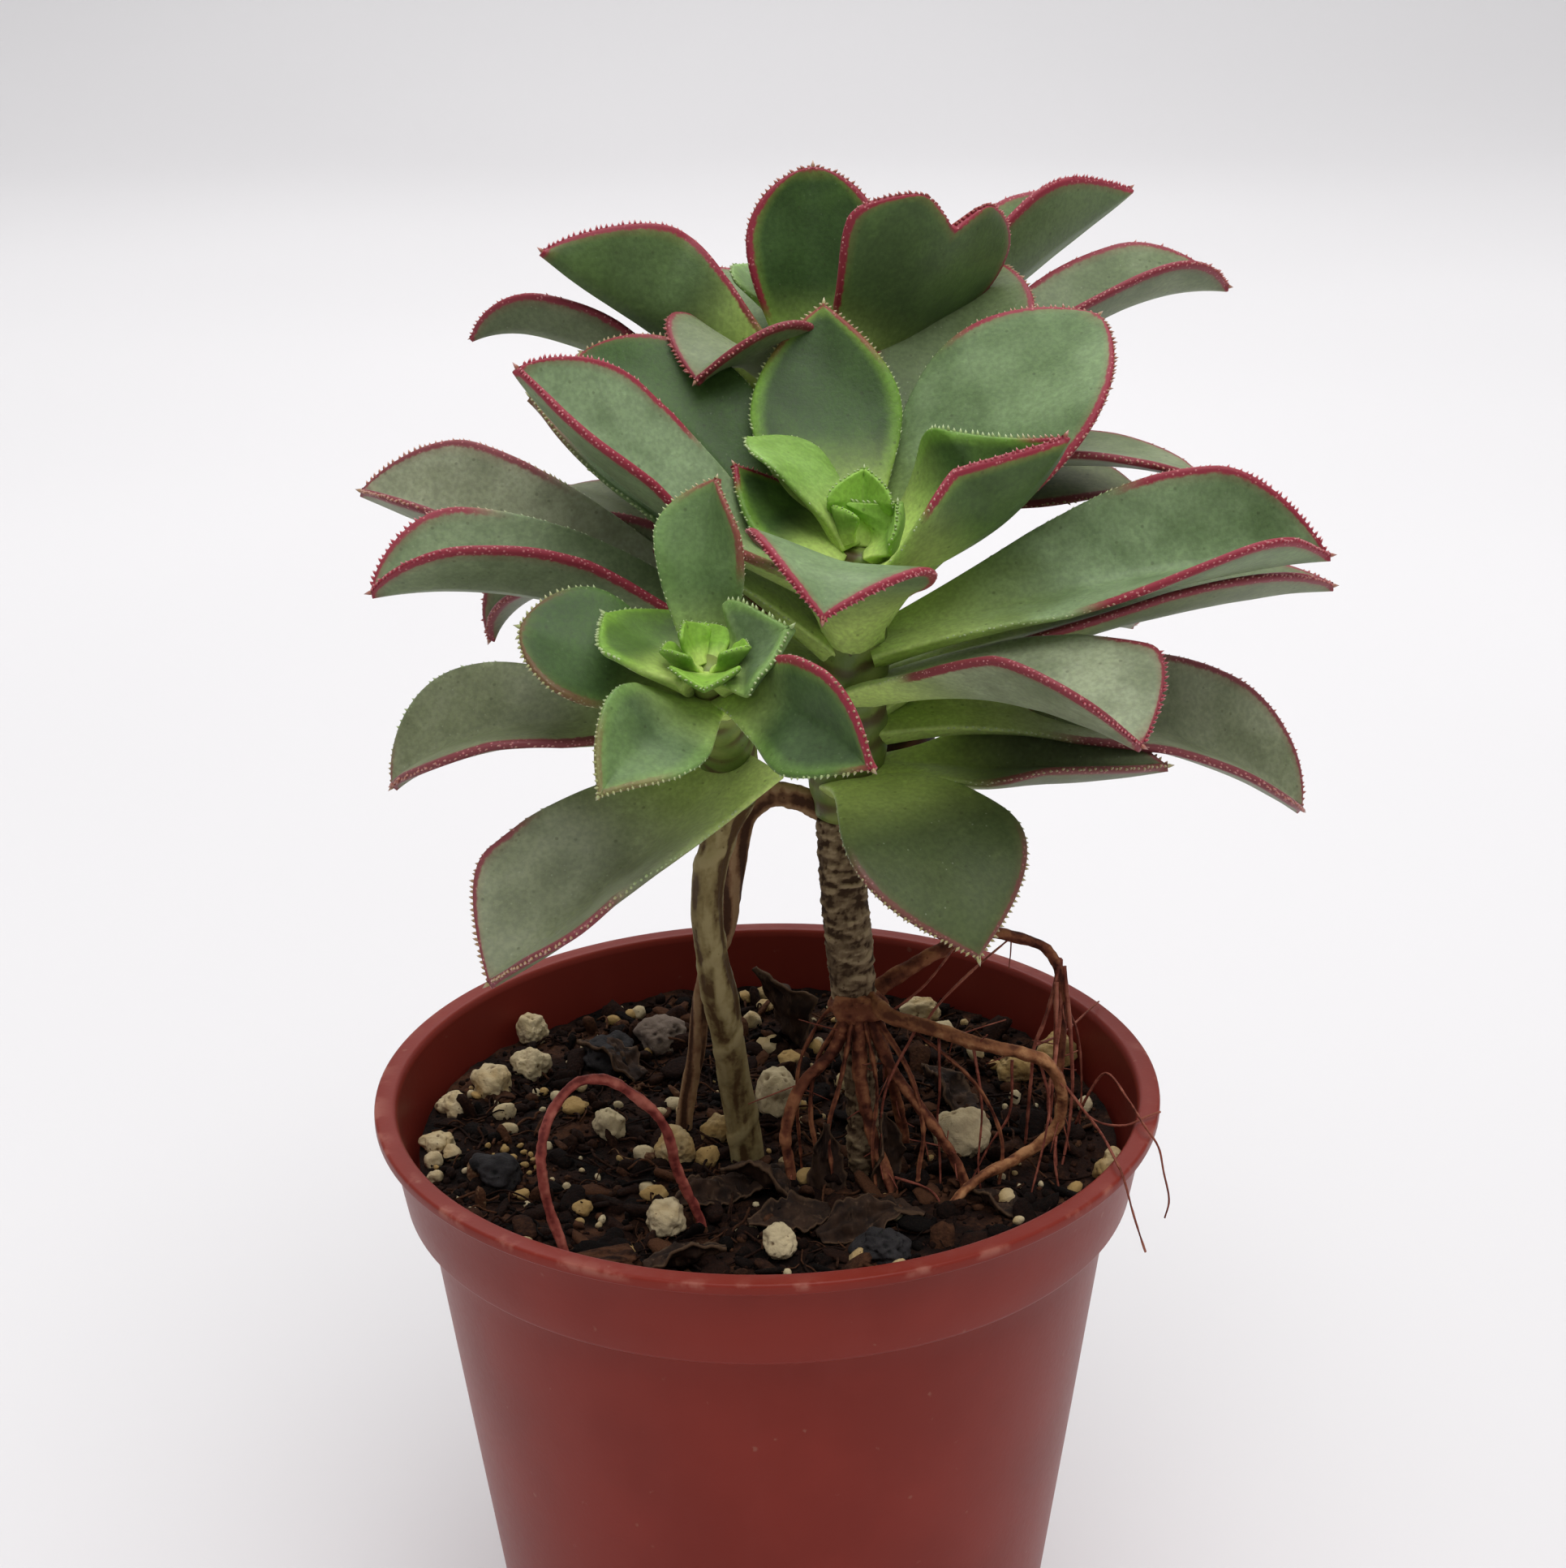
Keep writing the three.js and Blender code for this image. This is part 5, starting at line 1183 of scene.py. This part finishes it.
def grit_finish(name, dark, mid, light):
    """Porous stone: pale faces, stained hollows."""
    made, tree, shader = new_finish(name, Roughness=0.88, Specular_IOR_Level=0.3)
    tone = use(tree, MOTTLE, Cloud=2.6, Grain=0.45, Speck=0.8)
    own = maths(tree, "ADD", mask(tree, "tone"), maths(tree, "MULTIPLY_ADD", tone["Cloud"], 0.9, -0.45))
    body = mix(tree, between(tree, own, 0.15, 0.75), mid, light)
    body = mix(tree, times(tree, mask(tree, "pit"), 0.85), body, dark)
    body = mix(tree, times(tree, tone["Speck"], 0.55), body, dark)
    rise = maths(tree, "MULTIPLY_ADD", tone["Speck"], -0.8, noise(tree, 0.4, detail=4.0))
    dress(tree, shader, Base_Color=body, Normal=bump(tree, rise, 0.22, 0.8))
    return made


def ground(x, y):
    """Height of the soil at one place."""
    return soil_height(np.array([x]), np.array([y]))[0]


def scatter(rng, reach):
    """A random place within reach of the pot's axis."""
    a, d = rng.uniform(0, WHOLE_TURN), reach * math.sqrt(rng.uniform(0, 1))
    return d * math.cos(a), d * math.sin(a)


def crumb(shape, rng, at, size, tone, level, flat=0.75):
    """A rounded crumb or grain, turned and lumped at random."""
    points, faces = BALLS[level]
    stretch = size * rng.uniform(0.65, 1.25, 3) * np.array([1, 1, flat])
    turn, tip = rng.uniform(0, WHOLE_TURN), rng.uniform(-0.6, 0.6)
    spin = Matrix.Rotation(turn, 3, "Z") @ Matrix.Rotation(tip, 3, "X")
    skin = points * (1 + 0.30 * lumps(points, 0.9, int(rng.integers(1, 900))))[:, None] * stretch
    shape.add(skin @ np.array(spin).T + at, faces, tone=tone)


def bark_bit(shape, rng, x, y):
    """A thin torn splinter of bark that lies or stands in the mix."""
    points, faces = BALLS[2]
    size = rng.uniform(0.8, 2.3) * np.array([1.0, rng.uniform(0.35, 0.7), rng.uniform(0.16, 0.34)])
    skin = np.sign(points) * np.abs(points) ** 0.7
    skin = skin * (1 + 0.35 * lumps(points, 0.7, int(rng.integers(1, 900))))[:, None] * size
    turn, rise, roll = rng.uniform(0, WHOLE_TURN), rng.normal(0, 0.6), rng.normal(0, 0.5)
    spin = Matrix.Rotation(turn, 3, "Z") @ Matrix.Rotation(rise, 3, "Y") @ Matrix.Rotation(roll, 3, "X")
    z = ground(x, y) + 0.35 * size[0] * rng.uniform(0.3, 1.0)
    shape.add(skin @ np.array(spin).T + (x, y, z), faces, tone=rng.beta(1.6, 2.4))


SMALL_STONES = [  # centre x, y, half width, height to width, tone
    (-29.3, 4.2, 1.4, 0.8, 0.6), (-21.2, 20.6, 1.1, 0.8, 0.8), (-21.4, 4.9, 1.7, 0.6, 0.1),
    (-13.4, -5.0, 1.4, 0.8, 0.7), (-6.6, -6.6, 1.5, 1.0, 0.1), (-11.9, -14.2, 1.5, 0.6, 0.1),
    (-2.8, 34.0, 1.1, 0.9, 0.3), (-0.2, 32.6, 1.2, 0.8, 0.5), (2.6, 30.2, 1.3, 1.1, 0.1),
    (-2.0, 28.6, 1.3, 1.0, 0.5), (0.2, 20.8, 1.9, 0.8, 0.5), (2.6, 15.4, 1.8, 0.9, 0.2),
    (-36.0, -6.4, 1.3, 0.9, 0.6), (-34.3, -5.0, 1.1, 0.9, 0.5), (-35.6, -9.2, 0.9, 0.9, 0.7),
    (-31.6, -18.4, 1.0, 0.3, 1.0), (-30.4, -16.6, 0.6, 0.4, 1.0), (-19.4, -17.0, 1.2, 0.7, 0.1),
    (-25.8, -13.0, 1.0, 0.7, 0.1), (-14.2, -24.6, 1.0, 0.7, 0.2), (20.6, 22.8, 1.7, 0.8, 0.7),
    (16.8, 27.6, 1.4, 0.8, 0.5), (24.2, 18.0, 1.2, 0.8, 0.6), (13.6, 31.0, 1.3, 0.8, 0.6),
    (-15.6, 30.2, 1.2, 0.8, 0.7), (-6.4, 27.4, 1.0, 0.8, 0.6), (24.8, -16.2, 1.2, 0.8, 0.5),
    (9.8, -20.4, 1.3, 1.0, 0.5),
]
YELLOW_GRIT = [  # a pocket of yellow sand at the left
    (-27.6, -5.6, 0.55), (-26.4, -4.6, 0.50), (-28.6, -4.4, 0.45), (-26.2, -6.8, 0.60),
    (-27.4, -7.4, 0.40), (-28.8, -6.4, 0.50), (-25.4, -5.8, 0.40), (-29.6, -5.2, 0.35),
    (-24.8, -7.4, 0.35), (-27.0, -3.4, 0.40), (-25.6, -8.4, 0.45), (-28.2, -8.2, 0.35),
    (-30.4, -4.0, 0.40), (-24.2, -5.0, 0.30), (-26.8, -9.2, 0.30),
]


def clear_of_stems(x, y):
    """True away from the stems that come out of the soil."""
    for cx, cy, r in ((*TRUNK[0][:2], 2.3), (*SIDE_STEM[0][:2], 2.3), (*DRIED_STEM[-1][:2], 1.3)):
        if (x - cx) ** 2 + (y - cy) ** 2 < r * r:
            return False
    return True


def make_bed(earth):
    """The body of the soil: its uneven top, and plain walls down to the pot's floor."""
    rings, sides = 96, 300
    r = SOIL_R * np.sqrt(np.linspace(0.0004, 1, rings))
    turn = np.linspace(0, 2 * math.pi, sides, endpoint=False)
    x, y = (r[:, None] * np.cos(turn)).ravel(), (r[:, None] * np.sin(turn)).ravel()
    skin = [np.stack([x, y, soil_height(x, y)], 1)]
    for r, z in SOIL_WALL:
        skin.append(np.stack([r * np.cos(turn), r * np.sin(turn), np.full(sides, z)], 1))
    skin = np.vstack(skin)
    tone = np.clip(0.35 + 0.35 * rough(skin, 3.0, 41), 0, 0.8)
    faces = ring_faces(rings + len(SOIL_WALL), sides)
    make_piece("soil_bed", skin, faces, earth, ["potting_soil"], "soil", tone=tone)


def make_crumbs(rng, earth):
    crumbs = Shape()
    for k in range(CRUMBS):
        size = min(1.5, 0.22 * math.exp(rng.normal(0.35, 0.55)))
        x, y = scatter(rng, SOIL_R - 0.4 - size)
        if clear_of_stems(x, y):
            z = ground(x, y) + size * rng.uniform(-0.1, 0.45)
            crumb(crumbs, rng, (x, y, z), size, rng.beta(1.4, 3.2), 2 if size > 0.8 else 1)
    crumbs.piece("soil_crumbs", earth, ["potting_soil"], "soil")


def make_fibres(rng, earth):
    """Thin bent fibres that lie on the soil."""
    fibres = Shape()
    for k in range(FIBRES):
        x, y = scatter(rng, 35.5)
        heading, long = rng.uniform(0, WHOLE_TURN), rng.uniform(2.5, 9.0)
        points = []
        for s in np.linspace(-0.5, 0.5, 5):
            heading += rng.normal(0, 0.25)
            px, py = x + s * long * math.cos(heading), y + s * long * math.sin(heading)
            inward = min(1.0, 37.0 / max(1e-6, math.hypot(px, py)))
            px, py = px * inward, py * inward
            rise = 0.25 + 0.5 * max(0, rng.normal(0, 1))
            points.append((px, py, ground(px, py) + rise))
        skin, faces, _ = tube(points, [rng.uniform(0.06, 0.17)] * 2, 5, 14)
        fibres.add(skin, faces, tone=rng.beta(2.2, 2.6))
    fibres.piece("soil_fibres", earth, ["potting_soil"], "soil")


def make_bark_bits(rng, earth):
    bits = Shape()
    for k in range(BARK_BITS):
        x, y = scatter(rng, 35.8)
        if clear_of_stems(x, y):
            bark_bit(bits, rng, x, y)
    bits.piece("soil_bark_bits", earth, ["potting_soil"], "soil")


def make_grit(rng):
    """Pale grains all over the soil, and the pocket of yellow sand."""
    grit = Shape()
    for k in range(GRAINS):
        size = rng.choice([0.28, 0.4, 0.6, 0.9, 1.2], p=[0.38, 0.28, 0.18, 0.11, 0.05])
        x, y = scatter(rng, SOIL_R - 1 - size)
        if clear_of_stems(x, y):
            crumb(grit, rng, (x, y, ground(x, y) + size * 0.45), size, rng.uniform(0.0, 1.0), 2, 0.85)
    for x, y, size in YELLOW_GRIT:
        crumb(grit, rng, (x, y, ground(x, y) + 0.3), size, 0.05, 2, 0.8)
    grit.piece("soil_grit", PALE_GRIT, ["potting_soil"], "soil")


def make_small_stones():
    small = Shape()
    for k, (x, y, half, low, tone) in enumerate(SMALL_STONES):
        z = ground(x, y) + 0.45 * half * low
        skin, faces, pit = stone_skin((x, y, z, half, half * 0.88, half * low), 300 + k, 6, 0.26, 3)
        small.add(skin, faces, tone=tone, pit=pit)
    small.piece("small_stones", PALE_GRIT, ["potting_soil"], "soil")


def make_soil():
    earth = earth_finish()
    make_bed(earth)
    rng = np.random.default_rng(77)
    make_crumbs(rng, earth)
    make_fibres(rng, earth)
    make_bark_bits(rng, earth)
    make_grit(rng)
    make_small_stones()


PUMICE = [  # centre x, y, z and half sizes
    (-31.6, 10.4, 70.6, 3.0, 2.4, 2.4), (-27.4, 14.6, 70.6, 2.6, 2.2, 2.2),
    (-27.8, 23.8, 70.6, 2.3, 2.0, 2.2), (-35.0, 5.0, 70.4, 1.9, 2.3, 2.0),
    (-35.8, -3.0, 70.2, 1.9, 1.9, 1.6), (-17.7, 0.5, 70.6, 2.0, 2.0, 2.2),
    (-9.9, -5.4, 70.6, 2.1, 2.2, 2.4), (-5.4, -1.0, 70.4, 1.9, 1.6, 1.9),
    (-10.4, -20.6, 70.8, 2.1, 1.9, 2.2), (1.3, -25.3, 70.4, 2.0, 1.8, 1.8),
    (1.2, 5.8, 71.0, 3.3, 3.0, 3.6), (20.8, -4.4, 71.0, 3.5, 3.2, 3.4), (28.2, 12.4, 70.6, 2.2, 2.0, 2.0),
    (33.4, 15.8, 71.2, 2.5, 2.2, 2.6), (18.6, 28.2, 70.6, 2.6, 2.0, 1.9),
    (36.6, -9.6, 70.2, 1.8, 1.8, 1.9),
]
PUMICE_TONE = [0.55, 0.7, 0.6, 0.6, 0.5, 0.75, 0.35, 0.3, 0.65, 0.85, 0.8, 0.75, 0.3, 0.25, 0.5, 0.3]
KNOBS = 5               # broad knobs or dents on each stone
DARK_LUMPS = [
    (-29.0, -9.6, 70.2, 3.2, 3.0, 2.2), (-18.8, 18.2, 70.3, 4.2, 3.4, 2.3),
    (11.6, -26.4, 70.3, 3.6, 2.9, 2.3),
]
GREY_LUMP = (-12.6, 22.8, 70.4, 3.4, 2.9, 2.2)
BARK_CHIP = (-17.2, -29.4, 70.3, 4.4, 1.9, 1.3)


def stone_skin(place_and_size, seed, pits, rounder, level=5):
    """Points, faces and pore mask of a knobbly stone."""
    points, faces = BALLS[level]
    rng = np.random.default_rng(seed)
    x, y, z, *size = place_and_size
    shape = 0.90 + rounder * rough(points, 0.95, seed, 3) + 0.06 * rough(points, 0.30, seed + 40, 3)
    for k in range(KNOBS):
        knob = np.linalg.norm(points - unit(rng.normal(0, 1, 3)), axis=1)
        shape = shape + 0.20 * np.exp(-((knob / 0.42) ** 2)) * rng.uniform(-0.9, 1.1)
    pit = np.zeros(len(points))
    for k in range(pits):
        centre, wide = unit(rng.normal(0, 1, 3)), 0.26 * rng.uniform(0.25, 1.0) ** 1.6
        near = 1 - clamp(np.linalg.norm(points - centre, axis=1) / wide)
        pit = np.maximum(pit, near * min(1.0, wide / 0.14))
    shape = shape - 0.13 * smooth(0, 1, pit)
    spin = Matrix.Rotation(rng.uniform(0, WHOLE_TURN), 3, "Z")
    skin = points * shape[:, None] * size @ np.array(spin).T + np.array([x, y, z])
    return skin, faces, smooth(0.15, 0.8, pit)


def stone(name, place_and_size, seed, finish, nodes, slot, tone, pits=11, rounder=0.24):
    """A knobbly stone with pores pressed into it."""
    skin, faces, pit = stone_skin(place_and_size, seed, pits, rounder)
    make_piece(name, skin, faces, finish, nodes, slot, tone=tone, pit=pit)


def chip(finish):
    """The shaggy bark chip at the front."""
    points, faces = BALLS[5]
    x, y, z, *size = BARK_CHIP
    shags = 1 + 0.16 * rough(points * np.array([0.6, 1.6, 1.6]), 0.5, 5)
    skin = np.sign(points) * np.abs(points) ** 0.62 * size * shags[:, None]
    skin = skin @ np.array(Matrix.Rotation(0.42, 3, "Z")).T + np.array([x, y, z])
    tone = np.clip(0.62 + 0.3 * rough(skin * np.array([0.5, 2, 2]), 1.4, 6), 0, 0.84)
    make_piece("bark_chip_shaggy", skin, faces, finish, ["bark_chip"], "bark_chip", tone=tone)


def make_stones():
    for k, (place_and_size, tone) in enumerate(zip(PUMICE, PUMICE_TONE), 1):
        stone(f"pumice_stone_{k:02d}", place_and_size, k, PALE_GRIT, [f"pumice_{k:02d}"], "pumice", tone)
    black = grit_finish("black_scoria", (0.003, 0.003, 0.003), (0.013, 0.011, 0.012), (0.038, 0.034, 0.035))
    for k, place_and_size in enumerate(DARK_LUMPS, 1):
        stone(f"scoria_lump_{k}", place_and_size, 60 + k, black, [f"scoria_{k}"], "scoria", 0.4, 44, 0.30)
    grey = grit_finish("grey_brown_stone", (0.035, 0.022, 0.018), (0.12, 0.085, 0.066), (0.24, 0.185, 0.145))
    stone("grey_stone", GREY_LUMP, 81, grey, ["grey_lump"], "grey_stone", 0.45, 40)
    chip(earth_finish())


# ------------------------------------------------------------------ dead leaves
# root, heading, elevations at root and tip, length, width, fold and roll
SCRAPS = [  # the ones that are solids of their own
    ((5.6, 21.6, 66.5), 160, 62, 48, 14, 6.4, 25, 60),
    ((6.2, -12.4, 65), 250, 84, 100, 12, 4.6, 38, 10),
    ((2.6, -9.4, 69.6), 196, 6, 2, 9.5, 6.6, -14, 8),
    ((6.6, -18.4, 69.8), 196, 2, 4, 9, 5.4, 16, -14),
]
LITTER = [
    ((12.4, -13.0, 68.4), 96, 64, 96, 9.5, 4.6, 44, 30),
    ((3.4, -14.2, 69.4), 165, 26, -8, 9, 5.4, 30, 24),
    ((9.0, -15.6, 69.4), 330, 20, -14, 8.5, 4.8, -26, -20),
    ((5.2, -22.6, 69.4), 20, 16, -6, 9.5, 5.2, 28, 34),
    ((-3.2, -13.4, 69.4), 210, 18, -10, 8, 4.6, 24, -28),
    ((22.4, 2.6, 69.4), 120, 22, 2, 10, 5.6, 30, 26),
    ((26.6, -19.4, 69.4), 140, 14, -6, 7.5, 4.4, 24, 18),
    ((-12.4, -28.4, 69.6), 12, 14, -4, 8.5, 4.2, 28, -22),
    ((-14.6, 13.6, 69.4), 150, 24, 6, 9, 5.4, 26, 20),
]


def dead_leaf_finish():
    made, tree, shader = new_finish("dead_leaf", Roughness=0.80, Specular_IOR_Level=0.18)
    tone = use(tree, MOTTLE, Cloud=2.2, Grain=0.5, Speck=1.0)
    vein = noise(tree, 1.0, place(tree, (1, 1, 0.3)), 4.0)
    body = mix(tree, between(tree, tone["Cloud"], 0.3, 0.7), (0.014, 0.0075, 0.0055), (0.048, 0.025, 0.015))
    body = mix(tree, between(tree, vein, 0.54, 0.76), body, (0.11, 0.065, 0.040))
    body = mix(tree, between(tree, mask(tree, "rim"), 0.30, 0.0, 0.0, 0.6), body, (0.13, 0.075, 0.042))
    dress(tree, shader, Base_Color=body, Normal=bump(tree, vein, 0.35, 0.8))
    return made


def dead_leaf(name, root, given, seed, finish, nodes, slot):
    """A crinkled dry leaf."""
    stations, across = 44, 21
    q = row(name, 0, *given, base=0.6, peak=0.45)
    t = np.linspace(0, 1, stations)
    middle, _, up, right = blade_frame(q, np.array(root, float), t)
    half = np.maximum(0.4, q["wide"] / 2 * outline(t, q["base"], q["peak"], q["tip"]))
    half = half * (1 + 0.22 * rough(np.stack([t * 9, t, t], 1), 1.0, 50 + seed))
    fold = np.radians(8 + (q["fold"] - 8) * clamp(t / q["full"]))
    rings, rims = [], []
    for face in (1, -1):
        for u in np.linspace(-1, 1, across)[::face]:
            at = np.stack([t * 5, np.full(stations, u * 2.2), t * 0], 1)
            crinkle = rough(at, 1.0, 60 + seed) * half / 3
            rise = half * abs(u) * np.sin(fold) + crinkle + face * 0.3 * (1 - 0.5 * abs(u))
            rings.append(middle + right * (half * u * np.cos(fold))[:, None] + up * rise[:, None])
            rims.append(half * (1 - abs(u)))
    skin, rim = np.stack(rings, 1).reshape(-1, 3), np.stack(rims, 1).ravel()
    make_piece(name + "_scrap", skin, ring_faces(stations, 2 * across), finish, nodes, slot, rim=rim)


def make_dead_leaves():
    finish = dead_leaf_finish()
    for k, (root, *given) in enumerate(SCRAPS):
        name = f"dead_leaf_{k + 1}"
        dead_leaf(name, root, given, k, finish, [name], "dead_leaf")
    for k, (root, *given) in enumerate(LITTER):
        seed = k + len(SCRAPS)
        dead_leaf(f"litter_leaf_{k + 1}", root, given, seed, finish, ["potting_soil"], "soil")


# ------------------------------------------------------------------ studio
PITCH, ROLL = math.radians(20.8), math.radians(0.69)
EYE = (2.1, -262.0, 210.0)
PHOTO_LONG_SIDE, FOCAL_PX, SENSOR = 1932, 3300, 36.0    # pixels, pixels and mm


def make_camera():
    right, ahead = np.array([1.0, 0, 0]), np.array([0, math.cos(PITCH), -math.sin(PITCH)])
    down = np.array([0, -math.sin(PITCH), -math.cos(PITCH)])
    turned_right = right * math.cos(ROLL) + down * math.sin(ROLL)
    turned_down = down * math.cos(ROLL) - right * math.sin(ROLL)
    data = bpy.data.cameras.new("camera")
    data.sensor_width = SENSOR
    data.lens = SENSOR * FOCAL_PX / PHOTO_LONG_SIDE
    data.clip_start, data.clip_end = 0.01, 20.0
    camera = put("camera", data)
    turn = Matrix((turned_right, -turned_down, -ahead)).transposed().to_4x4()
    camera.matrix_world = Matrix.Translation(Vector(EYE) * MM) @ turn
    bpy.context.scene.camera = camera


def make_floor():
    """A pale seamless sheet, in metres: flat under the pot and curved up far behind it."""
    width, front, bend, radius, top = 3.0, -1.4, 1.3, 0.6, 2.2
    line = [(front, 0.0), (bend, 0.0)]
    for a in np.linspace(0, math.pi / 2, 16)[1:]:
        line.append((bend + radius * math.sin(a), radius * (1 - math.cos(a))))
    line.append((bend + radius, top))
    points, faces = [], []
    for k, (y, z) in enumerate(line):
        points += [(-width, y, z), (width, y, z)]
        if k:
            faces.append((2 * k - 2, 2 * k - 1, 2 * k + 1, 2 * k))
    mesh = bpy.data.meshes.new("floor")
    mesh.from_pydata(points, [], faces)
    mesh.polygons.foreach_set("use_smooth", [True] * len(faces))
    made, tree, shader = new_finish("pale_sheet", Roughness=0.9, Specular_IOR_Level=0.1)
    shade = noise(tree, 400.0, detail=1.0)
    body = mix(tree, between(tree, shade, 0.3, 0.7), (0.745, 0.735, 0.745), (0.765, 0.755, 0.765))
    dress(tree, shader, Base_Color=body)
    mesh.materials.append(made)
    floor = put("floor", mesh)


SKY_DIM, SKY_BRIGHT = 0.14, 0.66


def lamp(name, where, aim, size, watts):
    """A round white lamp, size metres wide, that faces aim."""
    data = bpy.data.lights.new(name, "AREA")
    data.shape = "DISK"
    data.size, data.energy = size, watts
    made = put(name, data)
    made.location = Vector(where)
    made.rotation_mode = "QUATERNION"
    made.rotation_quaternion = (Vector(aim) - Vector(where)).to_track_quat("-Z", "Y")


def make_sky():
    """A studio that is bright above and behind the plant and dim on the viewer's side."""
    world = bpy.data.worlds.new("studio")
    world.use_nodes = True
    tree = world.node_tree
    way = node(tree, "TexCoord").outputs["Generated"]
    lit = node(tree, "VectorMath", {0: way, 1: (0.0, 0.30, 0.95)}, operation="DOT_PRODUCT")
    strength = between(tree, lit.outputs["Value"], -0.35, 0.95, SKY_DIM, SKY_BRIGHT)
    sky = tree.nodes["Background"]
    sky.inputs["Color"].default_value = (1.0, 0.99, 1.0, 1)
    tree.links.new(strength, sky.inputs["Strength"])
    bpy.context.scene.world = world


def make_lights():
    """The sky, and two lamps placed and aimed in metres."""
    make_sky()
    lamp("overhead", (0.14, -0.36, 1.15), (0.0, 0.0, 0.10), 0.9, 7.5)
    lamp("backdrop_wash", (0.0, 0.85, 1.05), (0.0, 0.80, 0.0), 1.1, 8.0)
    bpy.context.scene.view_settings.view_transform = "Standard"


# ------------------------------------------------------------------ the object
PALE_GRIT = grit_finish("cream_pumice", (0.120, 0.066, 0.028), (0.42, 0.270, 0.100), (0.57, 0.465, 0.285))

make_camera()
make_floor()
make_lights()
make_pot()
make_soil()
make_stones()
make_dead_leaves()
make_stems()
make_trunk_roots()
make_hair_roots()
make_heads()
